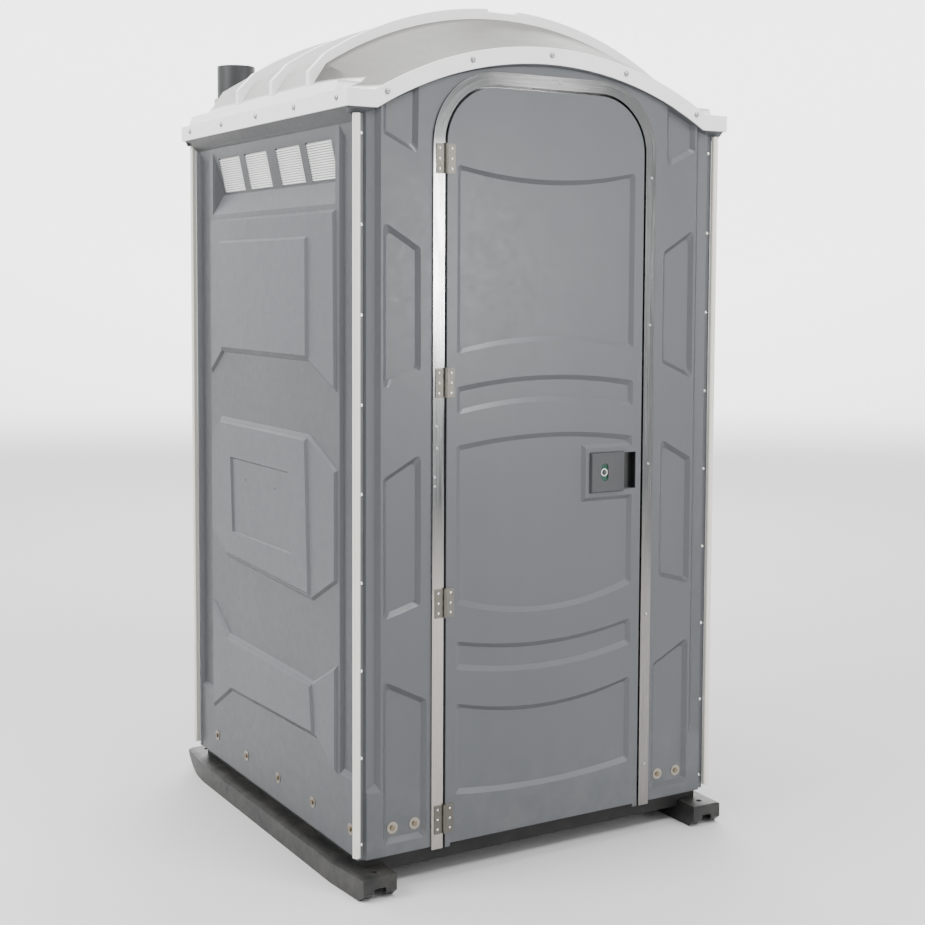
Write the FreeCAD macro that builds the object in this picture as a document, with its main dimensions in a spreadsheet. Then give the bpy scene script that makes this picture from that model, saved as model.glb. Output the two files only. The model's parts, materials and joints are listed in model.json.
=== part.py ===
import FreeCAD, Part
import math
import os
from FreeCAD import Vector
from Sketcher import Constraint

# Portable toilet cabin, millimetres. +X is to the right and -Y to the front of somebody who faces
# the door, +Z is up, and the origin is on the ground under the middle of the skids.

doc = FreeCAD.newDocument("portable_toilet_cabin")
sheet = doc.addObject("Spreadsheet::Sheet", "sizes")
sheet.Label = "sizes"

# Driving dimensions: alias, value, meaning.
SIZES = [
    # Skids
    ("skid_length", 1240, "front to back"),
    ("skid_outer", 590, "centre line to the outer face"),
    ("skid_tip_outer", 577, "centre line to the outer face at the two tips"),
    ("skid_taper_length", 165, "length over which a tip draws in"),
    ("skid_width", 108, "outer face to inner face"),
    ("skid_height", 62, "ground to the top"),
    ("skid_shoulder_drop", 8, "fall of the sloping shoulder"),
    ("skid_shoulder_width", 27, "width of the sloping shoulder"),
    ("skid_wall", 7, "wall of the moulded skid"),
    ("skid_tail_rise", 50, "rise of the rounded tail"),
    ("skid_tail_run", 118, "length of the rounded tail"),
    ("skid_nose_rise", 20, "height of the bevel under the nose"),
    ("skid_nose_run", 24, "length of the bevel under the nose"),
    ("tow_slot_width", 42, "opening in each nose for a tow rope"),
    ("tow_slot_height", 32, "height of that opening above the ground"),
    ("tow_slot_taper", 5, "draw-in of the opening towards its top, each side"),
    ("stake_hole_radius", 9, "hole through the skid's top for a ground stake"),
    ("stake_hole_setback", 36, "hole centre behind the tip"),
    # Base tray
    ("base_bottom", 45, "underside of the floor tray"),
    ("base_half_depth", 547, "centre to the front edge of the tray"),
    ("base_half_width", 540, "centre to the side edge of the tray"),
    ("floor_top", 100, "standing surface"),
    ("floor_skin", 8, "thickness of the floor"),
    ("upstand_top", 182, "top of the rim that the walls are bolted to"),
    ("upstand_thickness", 8, "thickness of that rim"),
    ("floor_rib_height", 2.5, "height of the tread ribs on the floor"),
    ("floor_rib_width", 12, "width of a tread rib"),
    ("floor_rib_pitch", 46, "distance between the tread ribs"),
    ("floor_rib_count", 11, "tread ribs"),
    ("floor_rib_first", -506, "front edge of the foremost tread rib"),
    ("floor_rib_half_length", 500, "centre to the end of a tread rib"),
    ("tray_wall", 8, "wall of the tray under the floor"),
    ("keel_height", 30, "height of the tray's part between the skids"),
    ("sill_step", 78, "top of the tray's nose under the door"),
    ("doorway_relief", 326, "half width of the gap in the rim at the door"),
    # Walls
    ("wall_bottom", 88, "lower edge of the walls"),
    ("wall_half_width", 571.5, "centre to the outermost face of a side wall"),
    ("wall_half_depth", 566, "centre to the outermost face of the front wall"),
    ("wall_sheet", 6, "thickness of the formed sheet"),
    ("field_depth", 13, "depth of the plain ground between the raised side fields"),
    ("facet_depth", 6, "depth of the raised fields' borders"),
    ("channel_depth", 22, "depth of the upright channels beside the corners"),
    ("corner_flange_depth", 10, "depth of the flanges at the corners and of the sunk front fields"),
    ("side_sheet_half_depth", 550, "centre to the front edge of a side wall"),
    ("front_sheet_half_width", 561.5, "centre to the side edge of the front wall"),
    ("form_slope", 9, "run of the sloping sides of raised fields"),
    ("sunk_slope", 13, "run of the sloping sides of the front's sunk fields"),
    ("channel_inner", 447, "centre to the inner edge of the upright channels"),
    ("channel_bottom", 300, "lower end of the channels"),
    ("channel_top", 1912, "upper end of the channels"),
    ("corner_flange_width", 5, "width of the flanges at the corners"),
    ("sign_recess_depth", 5, "depth of the plate-shaped recess in a side wall"),
    ("wall_lap", 30, "how far the walls reach up behind the roof rim"),
    ("soffit_bottom", 1957, "start of the outward slope under the roof rim"),
    # Vents in the side walls
    ("vent_top", 1950, "top of the vent recess"),
    ("vent_bottom", 1759, "bottom of the vent recess"),
    ("vent_half_width", 431, "half width of the vent recess"),
    ("vent_window_top", 1926, "top of the windows"),
    ("vent_window_bottom", 1825, "bottom of the windows"),
    ("vent_inset", 34, "depth of the vent recess at its deepest"),
    ("vent_deepest", 1818, "height of that deepest line"),
    ("vent_side_run", 34, "run of the recess's sloping ends"),
    ("vent_window_width", 158, "width of one window"),
    ("vent_mullion", 40, "bar between two windows"),
    ("vent_middle_mullion", 64, "bar in the middle"),
    ("louvre_count", 15, "blades in one window"),
    ("louvre_drop", 4, "how far the outer edge of a louvre lies below its middle"),
    ("louvre_lift", 2, "how far the inner edge of a louvre lies above its middle"),
    ("screen_lap", 4, "how far a screen reaches below its windows"),
    ("screen_head_lap", 14, "how far a screen reaches above its windows"),
    ("louvre_thickness", 2.2, "thickness of a blade"),
    ("screen_frame", 3, "thickness of the vent screen's frame"),
    # Roof
    ("rim_half_width", 600, "centre to the side faces of the rim"),
    ("rim_half_depth", 577, "centre to the front face of the rim"),
    ("rim_bottom", 1990, "lower edge of the rim at the sides"),
    ("rim_height", 43, "height of the rim"),
    ("rim_foot", 5, "height of the rim's lower edge under the dome"),
    ("rim_arch_bottom", 2133, "lower edge of the rim over the door"),
    ("rim_arch_spread", 7, "how much wider the arch is at the top of the rim"),
    ("rim_arch_half_width", 516, "half width of the arch in the rim"),
    ("roof_sheet", 5, "thickness of the roof moulding"),
    ("roof_top", 2311, "highest point"),
    ("roof_ledge_top", 2060, "ledge beside the dome"),
    ("roof_ledge_half_depth", 507, "centre to the end of that ledge"),
    ("dome_half_width", 583, "centre to the foot of the dome"),
    ("dome_shoulder", 540, "centre to where the crown meets the shoulder"),
    ("dome_crown_radius", 1000, "radius of the crown"),
    ("dome_crest_front", 332, "centre to the front crest of the dome"),
    ("dome_crest_back", 385, "centre to the back crest of the dome"),
    ("band_rise", 28, "height of the roof's bands"),
    ("band_pitch", 239, "distance between the bands"),
    ("rib_width", 20, "width of the rib along the front of a band"),
    ("rib_front", 6, "thickness of the front of a rib"),
    ("rib_foot", 5, "how far the foot of a rib stands out from the foot of the dome"),
    ("rib_upright", 42, "height of the upright foot of a rib"),
    ("rib_step", 4, "how far a rib stands over the band behind it"),
    ("crest_notch_width", 96, "notch in the middle of the first band"),
    ("crest_notch_depth", 9, "depth of that notch"),
    # Vent pipe
    ("pipe_radius", 57.15, "outside radius of the vent pipe"),
    ("pipe_wall", 5, "wall of the vent pipe"),
    ("pipe_x", 472, "centre line of the cabin to the pipe"),
    ("pipe_y", 446, "pipe behind the middle"),
    ("pipe_top", 2211, "top end of the pipe"),
    ("collar_top", 2112, "top of the pipe's collar on the roof"),
    ("collar_width", 9, "thickness of that collar"),
    ("pipe_clearance", 0.3, "free space round the pipe"),
    ("collar_gap", 0.25, "gap between the collar and the curved roof"),
    # Door frame
    ("frame_half_width", 354, "centre to the outer edge of the frame"),
    ("frame_bar", 34, "width of the frame bar"),
    ("frame_top", 2103, "top of the frame"),
    ("frame_bottom", 80, "lower ends of the frame"),
    ("frame_corner_radius", 190, "outer radius of the top corners"),
    ("frame_face", 5, "thickness of the frame's face flange"),
    ("frame_web", 3, "thickness of the frame's web"),
    ("frame_stop", 16, "width of the lip that the door closes on"),
    # Door
    ("door_gap", 7, "gap between the frame and the door"),
    ("door_thickness", 34, "thickness of the door"),
    ("door_sheet", 5, "thickness of the door's outer shell"),
    ("door_liner_sheet", 3, "thickness of the door's inner shell"),
    ("door_bottom", 90, "lower edge of the door"),
    ("door_tab", 9, "tabs under the door's lower corners"),
    ("door_tab_width", 15, "width of those tabs"),
    ("door_field_half_width", 284, "half width of the door's sunk fields"),
    ("door_relief", 7, "depth of the door's sunk fields"),
    ("door_relief_slope", 14, "run of the slopes round those fields"),
    ("door_field_corner", 18, "corner radius of those fields"),
    ("door_stop_gap", 0.3, "gap between the door and the lip"),
    ("liner_panel_half_width", 203, "half width of the raised panels of the inner shell"),
    ("liner_panel_rise", 2, "how far those panels stand out"),
    # Hinges
    ("hinge_count", 4, "hinges on the door"),
    ("hinge_first", 158.5, "centre of the lowest hinge"),
    ("hinge_pitch", 571.7, "distance between hinges"),
    ("hinge_height", 76.2, "height of a hinge"),
    ("hinge_x", 318.3, "centre line of the cabin to the hinge pins"),
    ("hinge_leaf_reach", 28, "pin to the free edge of a leaf"),
    ("hinge_leaf", 2, "thickness of a leaf"),
    ("hinge_knuckle_radius", 4.4, "outside radius of the knuckles"),
    ("hinge_pin_radius", 2.4, "radius of the pin"),
    ("hinge_running", 0.05, "free space round the pin in the door's knuckles"),
    ("hinge_end_play", 0.3, "free space between knuckles"),
    ("hinge_knuckle_gap", 0.4, "knuckle to the other leaf"),
    ("hinge_head", 1.5, "height of the pin's head"),
    ("rivet_radius", 3.4, "radius of a small domed rivet head"),
    ("rivet_height", 1.8, "height of a small rivet head"),
    # Latch
    ("latch_x", 184, "centre of the indicator"),
    ("latch_z", 1041, "height of the latch"),
    ("latch_plate_left", 139, "near edge of the latch plate"),
    ("latch_plate_right", 254, "far edge of the latch plate"),
    ("latch_plate_height", 112, "height of the latch plate"),
    ("latch_plate_stand", 9, "height of the plate above the door"),
    ("pull_right", 295, "far edge of the finger recess"),
    ("pull_left", 256, "near edge of the finger recess"),
    ("pull_depth", 22, "depth of the finger recess"),
    ("window_height", 49, "height of the indicator's window"),
    ("window_width", 24, "width of the indicator's window"),
    ("ring_radius", 10.5, "outside radius of the ring on the dial"),
    ("ring_hole_radius", 8, "inside radius of that ring"),
    ("print_height", 0.6, "height of the ring on the dial"),
    ("mark_width", 12, "width of an occupied mark on the dial"),
    ("mark_height", 18, "height of such a mark"),
    ("spindle_radius", 6, "radius of the latch spindle"),
    ("spindle_running", 0.08, "free space round the spindle"),
    ("dial_radius", 27, "radius of the indicator's dial"),
    ("dial_thickness", 3, "thickness of that dial"),
    ("cam_length", 151, "reach of the latch arm from the spindle"),
    ("cam_width", 22, "width of the latch arm"),
    ("cam_thickness", 6, "thickness of the latch arm"),
    ("cam_hub_radius", 14, "radius of the latch arm's hub"),
    ("knob_radius", 21, "radius of the thumb turn inside the cabin"),
    ("knob_disc", 6, "thickness of the thumb turn's disc"),
    ("knob_grip", 14, "height of the thumb turn's grip"),
    ("knob_grip_width", 10, "width of that grip"),
    ("hinge_rivet_reach", 18, "pin to the rivets of a leaf"),
    ("hinge_rivet_spread", 26, "distance between the rivets of a leaf"),
    ("latch_pad_lap", 11, "how far the plain pad reaches past the latch plate"),
    ("latch_pad_half_height", 66, "half height of the flat pad round the latch"),
    ("pull_height", 102, "height of the finger recess"),
    ("dial_fit", 0.35, "free space between dial and spindle"),
    ("spindle_length", 73, "length of the latch spindle"),
    ("strike_height", 90, "height of the wear plate that the latch arm slides over"),
    ("strike_thickness", 1.5, "thickness of the wear plate that the latch arm slides over"),
    ("arm_gap", 0.3, "gap between the latch arm and the wear plate"),
    ("door_pull_x", 236, "centre line of the door to the pull inside"),
    ("door_pull_z", 860, "height of the pull inside"),
    ("door_pull_length", 150, "distance between the posts of the pull"),
    ("door_pull_stand", 38, "how far the pull's bar stands off the door"),
    ("door_pull_post", 6, "radius of the pull's posts"),
    ("door_pull_bar", 7, "radius of the pull's bar"),
    ("door_pull_foot", 14, "radius of the pull's feet"),
    ("fitting_plate", 3, "thickness of the plates and feet of the fittings inside the door"),
    ("coat_hook_z", 1690, "height of the coat hook"),
    ("coat_hook_width", 28, "width of the coat hook's plate"),
    ("coat_hook_height", 60, "height of the coat hook's plate"),
    ("coat_hook_reach", 42, "how far the coat hook stands out"),
    ("coat_hook_arm", 6, "radius of the coat hook's arm"),
    ("coat_hook_end", 11, "radius of the button at the end of that arm"),
    # Inside fittings
    ("tank_front", -40, "front face of the waste tank at the floor"),
    ("tank_top", 545, "top of the waste tank"),
    ("tank_wall", 6, "wall of the waste tank"),
    ("tank_slope", 50, "how far the tank's front draws back at the floor"),
    ("tank_back", 538, "back of the tank"),
    ("tank_half_width", 534, "centre to the side of the tank"),
    ("tank_kick", 160, "height over which the tank's front draws back"),
    ("tank_chamfer", 20, "bevel along the tank's front edge"),
    ("tank_socket_inset", 8, "how much smaller than the vent pipe its hole in the tank is"),
    ("tank_hole_length", 270, "opening under the seat, front to back"),
    ("tank_hole_width", 210, "opening under the seat, side to side"),
    ("seat_y", 190, "centre of the seat"),
    ("seat_length", 410, "seat, front to back"),
    ("seat_width", 370, "seat, side to side"),
    ("seat_thickness", 20, "thickness of the seat"),
    ("seat_gap", 4, "height of the seat's buffers over the tank"),
    ("lid_thickness", 16, "thickness of the lid"),
    ("lid_skin", 5, "thickness of the lid's top"),
    ("lid_edge", 10, "width of the lid's turned-down edge"),
    ("seat_ring_width", 60, "width of the seat's ring"),
    ("seat_hinge_rise", 14, "height of the seat's hinge pin over the tank"),
    ("seat_knuckle", 9, "radius of the knuckles on the seat and the lid"),
    ("seat_knuckle_width", 24, "width of those knuckles"),
    ("seat_buffer", 9, "radius of the buffers under the seat"),
    ("seat_hinge_y", 412, "centre line of the seat's hinge"),
    ("seat_post_reach", 120, "centre to the outer face of the seat hinge's posts"),
    ("seat_post_width", 10, "width of those posts"),
    ("seat_post_depth", 28, "depth of those posts, front to back"),
    ("seat_post_height", 26, "height of those posts"),
    ("seat_knuckle_reach", 104, "centre to the outer end of the seat's knuckles"),
    ("lid_knuckle_reach", 70, "centre to the outer end of the lid's knuckles"),
    ("seat_buffer_x", 130, "centre line of the seat to its buffers"),
    ("seat_buffer_y", 60, "centre of the seat to its buffers, front to back"),
    ("seat_pin_radius", 5, "radius of the seat's hinge pin"),
    ("seat_running", 0.08, "free space round that pin"),
    ("urinal_y", -110, "centre of the urinal on the right wall"),
    ("urinal_bottom", 640, "lowest point of the urinal"),
    ("urinal_height", 330, "height of the urinal"),
    ("urinal_width", 260, "width of the urinal"),
    ("urinal_depth", 190, "how far the urinal stands out"),
    ("urinal_wall", 5, "wall of the urinal"),
    ("drain_radius", 19, "outside radius of the urinal's drain pipe"),
    ("drain_wall", 3, "wall of the drain pipe"),
    ("drain_x", 510, "centre line of the cabin to the drain pipe"),
    ("drain_end_y", 20, "where the drain pipe enters the tank"),
    ("drain_bend", 35, "centre-line radius of the drain pipe's upper bend"),
    ("drain_end_bend", 25, "centre-line radius of its lower bend"),
    ("lid_open_angle", 95, "how far the lid leans back when it is open"),
    ("holder_y", -90, "centre of the paper holder on the left wall"),
    ("holder_z", 765, "height of the paper holder"),
    ("holder_length", 290, "length of the paper holder"),
    ("holder_reach", 95, "how far the paper holder stands out"),
    ("holder_plate", 4, "thickness of the paper holder's back plate"),
    ("holder_plate_height", 70, "height of that plate"),
    ("holder_cheek", 5, "thickness of the paper holder's cheeks"),
    ("holder_cheek_height", 44, "height of those cheeks"),
    ("roll_bar_head", 6, "how far the bar's head stands out around it"),
    ("roll_bar_radius", 8, "radius of the bar through the rolls"),
    ("roll_bar_running", 0.08, "free space round that bar"),
    ("front_main_half_width", 501, "half width of the front wall's main plane"),
    ("groove_outer", 541, "centre to the outer edge of the groove beside each front flange"),
    ("groove_rise", 7, "how far that edge stands over the flange"),
    ("groove_edge_run", 6, "run of the slope from that edge to the flange"),
    ("groove_bottom", 285, "lower end of the groove"),
    ("field_corner", 20, "corner radius of the sunk fields"),
    ("corner_cap_drop", 14, "drop of the side walls' upper band below the rim where the corner starts"),
    ("corner_cap_rise", 12.5, "how much less it hangs down at the corner itself"),
    ("corner_gap", 0.5, "gap between the upper bands of two walls at a corner"),
    ("eave_half_width", 590, "centre to the side edge of the end walls' upper band"),
    ("louvre_margin", 12, "how far a vent screen reaches past its windows"),
    ("rim_lap", 6, "how far the walls' upper edges stand out to meet the roof rim"),
    ("frame_fit", 0.3, "gap between the door frame and the wall round it"),
    ("sign_hole_radius", 3, "holes for a sign in the side walls"),
    # Fasteners
    ("roof_rivet_radius", 8, "radius of a roof rivet's head"),
    ("roof_rivet_height", 5, "height of a roof rivet's head"),
    ("washer_radius", 15.5, "radius of the washers on the base bolts"),
    ("washer_thickness", 1.6, "thickness of those washers"),
    ("bolt_radius", 4, "radius of the base bolts"),
    ("bolt_length", 18, "shank of a base bolt"),
    ("bolt_clearance", 0.1, "free space round the base bolts"),
    ("bolt_head_radius", 6.5, "radius of the base bolts' heads"),
    ("bolt_head_height", 4, "height of the base bolts' heads"),
    ("base_bolt_z", 156, "height of the base bolts"),
    ("side_bolt_first", 413, "centre to the rearmost side bolt"),
    ("end_bolt_near", 397, "centre to the front bolts beside the door"),
    ("end_bolt_far", 462, "centre to the front bolts at the corners"),
    ("side_bolt_pitch", 231, "distance between the side bolts"),
    ("rim_rivet_pitch", 255, "distance between the side rivets of the rim"),
    ("rim_rivet_first", -518, "foremost side rivet of the rim"),
    ("rim_rivet_rise", 24, "height of those rivets over the rim's lower edge"),
    ("flange_rivet_pitch", 225, "distance between the rivets beside the corners"),
    ("flange_rivet_first", 127, "height of the lowest rivet beside a corner"),
    ("flange_rivet_x", 551, "centre line of the cabin to those rivets"),
    ("strip_radius", 10, "radius of the corner strips"),
    ("strip_offset", 6.5, "corner of the sheets to the centre of a strip"),
    ("strip_bottom", 100, "lower end of the corner strips"),
    ("strip_top", 1974, "upper end of the corner strips"),
]

for row, (alias, value, meaning) in enumerate(SIZES, start=1):
    sheet.set("A%d" % row, meaning)
    sheet.set("B%d" % row, str(value))
    sheet.setAlias("B%d" % row, alias)
doc.recompute()


class Amount:
    """A length that knows its number and the formula on the sheet that it comes from."""

    def __init__(self, number, formula):
        self.number = float(number)
        self.formula = formula

    def join(self, other, sign, number):
        text = other.formula if isinstance(other, Amount) else repr(other)
        return Amount(number, "(%s %s %s)" % (self.formula, sign, text))

    def __float__(self):
        return self.number

    def __add__(self, other):
        return self.join(other, "+", self.number + float(other))

    def __sub__(self, other):
        return self.join(other, "-", self.number - float(other))

    def __mul__(self, other):
        return self.join(other, "*", self.number * float(other))

    def __truediv__(self, other):
        return self.join(other, "/", self.number / float(other))

    def __neg__(self):
        return Amount(-self.number, "(0 - %s)" % self.formula)

    def __radd__(self, other):
        return Amount(other, repr(other)) + self

    def __rsub__(self, other):
        return Amount(other, repr(other)) - self

    def __rmul__(self, other):
        return Amount(other, repr(other)) * self


class Sizes:
    """Every alias of the sheet as an Amount, such as S.wall_sheet."""

    def __getattr__(self, alias):
        return Amount(sheet.get(alias), "sizes." + alias)


S = Sizes()
pieces = []


def bind(item, prop, amount):
    """Tie a property to the sheet, or set it where the amount is a plain number."""
    if isinstance(amount, Amount):
        item.setExpression(prop, amount.formula)
    elif "." in prop:
        item.setExpression(prop, repr(float(amount)))
    else:
        setattr(item, prop, amount)


def place(item, x, y, z, axis=(0, 0, 1), angle=0):
    """Turn an object about an axis through its own origin, then put that origin at x, y, z."""
    item.Placement = FreeCAD.Placement(Vector(), FreeCAD.Rotation(Vector(*axis), angle))
    bind(item, "Placement.Base.x", x)
    bind(item, "Placement.Base.y", y)
    bind(item, "Placement.Base.z", z)
    return item


def box(name, corner, spans):
    item = doc.addObject("Part::Box", name)
    for prop, amount in zip(("Length", "Width", "Height"), spans):
        bind(item, prop, amount)
    return place(item, *corner)


TURNS = {"+Z": ((0, 0, 1), 0), "-Z": ((1, 0, 0), 180), "+X": ((0, 1, 0), 90), "-X": ((0, 1, 0), -90),
         "+Y": ((1, 0, 0), -90), "-Y": ((1, 0, 0), 90)}


def rod(name, start, direction, radius, length):
    """A cylinder that runs from start along one of the axes."""
    item = doc.addObject("Part::Cylinder", name)
    bind(item, "Radius", radius)
    bind(item, "Height", length)
    axis, angle = TURNS[direction]
    return place(item, start[0], start[1], start[2], axis, angle)


def cone(name, start, direction, radius, top_radius, length):
    item = doc.addObject("Part::Cone", name)
    bind(item, "Radius1", radius)
    bind(item, "Radius2", top_radius)
    bind(item, "Height", length)
    axis, angle = TURNS[direction]
    return place(item, start[0], start[1], start[2], axis, angle)


def cut(name, base, tool):
    item = doc.addObject("Part::Cut", name)
    item.Base = base
    item.Tool = tool
    return item


def fuse(name, shapes):
    item = doc.addObject("Part::MultiFuse", name)
    item.Shapes = shapes
    item.Refine = True
    return item


def group(name, shapes):
    """Separate solids that share one node."""
    item = doc.addObject("Part::Compound", name)
    item.Links = shapes
    return item


def mirrored(name, source, normal=(1, 0, 0)):
    item = doc.addObject("Part::Mirroring", name)
    item.Source = source
    item.Normal = Vector(*normal)
    return item


def formed(name, shape):
    """A piece whose shape is made by Part's own functions from the sheet's sizes."""
    item = doc.addObject("Part::Feature", name)
    item.Shape = shape
    item.Placement = FreeCAD.Placement()
    return item


def piece(name, item):
    """Name a finished piece. Its label becomes the name of its file."""
    item.Label = name
    pieces.append(item)
    return item


def origin_plane(body, role):
    return [plane for plane in body.Origin.OriginFeatures if plane.Role == role][0]


def outline(body, role, points, name, start):
    """A closed sketch through points, start away from its plane.

    A point with a third entry is reached by an arc that is tangent to the side before it.
    """
    sketch = body.newObject("Sketcher::SketchObject", name)
    sketch.AttachmentSupport = [(origin_plane(body, role), "")]
    sketch.MapMode = "FlatFace"
    bind(sketch, "AttachmentOffset.Base.z", start)
    spots = [Vector(float(point[0]), float(point[1]), 0) for point in points]
    heading = None
    sides = []
    for index, spot in enumerate(spots):
        target = (index + 1) % len(spots)
        end = spots[target]
        if len(points[target]) == 2:
            sides.append((sketch.addGeometry(Part.LineSegment(spot, end), False), 1, 2))
            heading = (end - spot).normalize()
            continue
        across = Vector(-heading.y, heading.x, 0)
        chord = end - spot
        centre = spot + across * (chord.Length ** 2 / (2 * chord.dot(across)))
        left_turn = chord.dot(across) > 0
        first, last = (math.atan2(p.y - centre.y, p.x - centre.x) for p in (spot, end))
        circle = Part.Circle(centre, Vector(0, 0, 1), (spot - centre).Length)
        if left_turn:
            sides.append((sketch.addGeometry(Part.ArcOfCircle(circle, first, last), False), 1, 2))
            heading = Vector(-(end - centre).y, (end - centre).x, 0).normalize()
        else:
            sides.append((sketch.addGeometry(Part.ArcOfCircle(circle, last, first), False), 2, 1))
            heading = Vector((end - centre).y, -(end - centre).x, 0).normalize()
    for index, (side, first, last) in enumerate(sides):
        after = sides[(index + 1) % len(sides)]
        smooth = len(points[(index + 2) % len(points)]) > 2
        kind = "Tangent" if smooth else "Coincident"
        sketch.addConstraint(Constraint(kind, side, last, after[0], after[1]))
    for index, (side, first, last) in enumerate(sides):
        for kind, amount in zip(("DistanceX", "DistanceY"), points[index][:2]):
            row = sketch.addConstraint(Constraint(kind, -1, 1, side, first, float(amount)))
            if isinstance(amount, Amount):
                sketch.setExpression("Constraints[%d]" % row, amount.formula)
    return sketch


def slab(name, role, points, start, length):
    """A body padded from an outline: XY along +Z, XZ along +Y, YZ along +X, beginning at start."""
    body = doc.addObject("PartDesign::Body", name)
    backwards = role == "XZ_Plane"
    sketch = outline(body, role, points, name + "_outline", -start if backwards else start)
    pad = body.newObject("PartDesign::Pad", name + "_pad")
    pad.Profile = sketch
    pad.Reversed = backwards
    bind(pad, "Length", length)
    sketch.Visibility = False
    return body


def common(name, first, second):
    item = doc.addObject("Part::MultiCommon", name)
    item.Shapes = [first, second]
    return item


# Skids: moulded runners, hollow from below, with a rope slot in the nose and a round tail.
def skid_side(inset, floor, name):
    half = S.skid_length / 2
    points = [(S.skid_nose_run - half, floor), (half - S.skid_tail_run, floor),
              (half - inset, S.skid_tail_rise, "arc"), (half - inset, S.skid_height - inset),
              (inset - half, S.skid_height - inset), (inset - half, S.skid_nose_rise)]
    return slab(name, "YZ_Plane", points, S.skid_outer - S.skid_width - 5, S.skid_width + 10)


def skid_plan(inset, name):
    half = S.skid_length / 2
    inner = S.skid_outer - S.skid_width + inset
    points = [(inner, inset - half), (S.skid_tip_outer - inset, inset - half),
              (S.skid_outer - inset, S.skid_taper_length - half),
              (S.skid_outer - inset, half - S.skid_taper_length),
              (S.skid_tip_outer - inset, half - inset), (inner, half - inset)]
    return slab(name, "XY_Plane", points, -5, S.skid_height + 10 - inset)


def skids():
    solid = common("skid_solid", skid_side(0, 0, "skid_side"), skid_plan(0, "skid_plan"))
    hollow = common("skid_hollow", skid_side(S.skid_wall, -2, "skid_side_inside"),
                    skid_plan(S.skid_wall, "skid_plan_inside"))
    lip = S.skid_outer - S.skid_shoulder_width
    shoulder = slab("skid_shoulder", "XZ_Plane",
                    [(lip, S.skid_height), (S.skid_outer + 1, S.skid_height - S.skid_shoulder_drop),
                     (S.skid_outer + 1, S.skid_height + 2), (lip, S.skid_height + 2)],
                    S.skid_length * -0.5 - 5, S.skid_length + 10)
    middle = (S.skid_outer - S.skid_width + S.skid_tip_outer) / 2
    foot = S.tow_slot_width / 2
    head = foot - S.tow_slot_taper
    nose = S.skid_length * -0.5
    slot = slab("tow_slot", "XZ_Plane",
                [(middle - foot, -1), (middle + foot, -1),
                 (middle + head, S.tow_slot_height), (middle - head, S.tow_slot_height)],
                nose - 1, S.skid_nose_run + 2)
    holes = [rod("stake_hole_front", (middle, nose + S.stake_hole_setback, 10), "+Z",
                 S.stake_hole_radius, S.skid_height),
             rod("stake_hole_back", (middle, -nose - S.stake_hole_setback, 10), "+Z",
                 S.stake_hole_radius, S.skid_height)]
    right = cut("skid_right_shape", solid, fuse("skid_cuts", [hollow, shoulder, slot] + holes))
    piece("skid_right", right)
    piece("skid_left", mirrored("skid_left_shape", right))


skids()


PAST = 20  # how far a cutting shape reaches past the face that it cuts


def size(alias):
    return float(sheet.get(alias))


def wire(points, world):
    """A closed wire through (u, v) points; a point led by "arc" names the middle of a curve."""
    edges = []
    spots = points + [points[0]]
    last = world(*spots[0])
    middle = None
    for spot in spots[1:]:
        if spot[0] == "arc":
            middle = world(spot[1], spot[2])
            continue
        here = world(*spot)
        edges.append(Part.Arc(last, middle, here).toShape() if middle else Part.makeLine(last, here))
        last, middle = here, None
    return Part.Wire(edges)


def between(first, start, second, end, world):
    """The solid between outline first at depth start and outline second at depth end."""
    if any(spot[0] == "arc" for spot in first):
        rims = [wire(first, lambda u, v: world(u, v, start)), wire(second, lambda u, v: world(u, v, end))]
        return Part.makeLoft(rims, True, True)
    low = [world(u, v, start) for u, v in first]
    high = [world(u, v, end) for u, v in second]
    faces = [Part.Face(Part.makePolygon(low + low[:1])), Part.Face(Part.makePolygon(high + high[:1]))]
    for index in range(len(low)):
        a, b, c, d = low[index - 1], low[index], high[index], high[index - 1]
        if abs((b - a).cross(c - a).dot(d - a)) < 0.01:
            faces.append(Part.Face(Part.makePolygon([a, b, c, d, a])))
            continue
        faces.append(Part.Face(Part.makePolygon([a, b, c, a])))
        faces.append(Part.Face(Part.makePolygon([a, c, d, a])))
    solid = Part.makeSolid(Part.makeShell(faces))
    if solid.Volume < 0:
        solid.reverse()
    return solid


def drawn_in(points, inset):
    """A polygon with every side moved inward (outward where inset is negative)."""
    turn = sum(a[0] * b[1] - b[0] * a[1] for a, b in zip(points, points[1:] + points[:1]))
    inset = inset if turn > 0 else -inset
    result = []
    for index, spot in enumerate(points):
        before, after = points[index - 1], points[(index + 1) % len(points)]
        one = Vector(spot[0] - before[0], spot[1] - before[1], 0).normalize()
        two = Vector(after[0] - spot[0], after[1] - spot[1], 0).normalize()
        bend = one.x * two.y - one.y * two.x
        if abs(bend) < 0.001:
            result.append((spot[0] - one.y * inset, spot[1] + one.x * inset))
            continue
        along = inset * (one.x * two.x + one.y * two.y - 1) / bend
        result.append((spot[0] - one.y * inset + one.x * along, spot[1] + one.x * inset + one.y * along))
    return result


def rectangle(left, bottom, right, top):
    return [(left, bottom), (right, bottom), (right, top), (left, top)]


def prism(points, start, end, world):
    face = Part.Face(wire(points, lambda u, v: world(u, v, start)))
    return face.extrude(world(0, 0, end) - world(0, 0, start))


def left_wall(u, v, depth):
    """Depth inward from the outermost face of the left wall: u is Y and v is Z."""
    return Vector(depth - size("wall_half_width"), u, v)


def along_wall(depth, v, u):
    """The left wall's outlines that run along Y: first the depth, then Z, then Y."""
    return left_wall(u, v, depth)


def front_wall(u, v, depth):
    return Vector(u, depth - size("wall_half_depth"), v)


def door_face(u, v, depth):
    return Vector(u, depth - size("wall_half_depth") - size("frame_face"), v)


def plan(u, v, height):
    return Vector(u, v, height)


def section(u, v, depth):
    """u is Y, v is Z and the depth runs along +X."""
    return Vector(depth, u, v)


def across(u, v, depth):
    """u is X, v is Z and the depth runs along +Y."""
    return Vector(u, depth, v)


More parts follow.
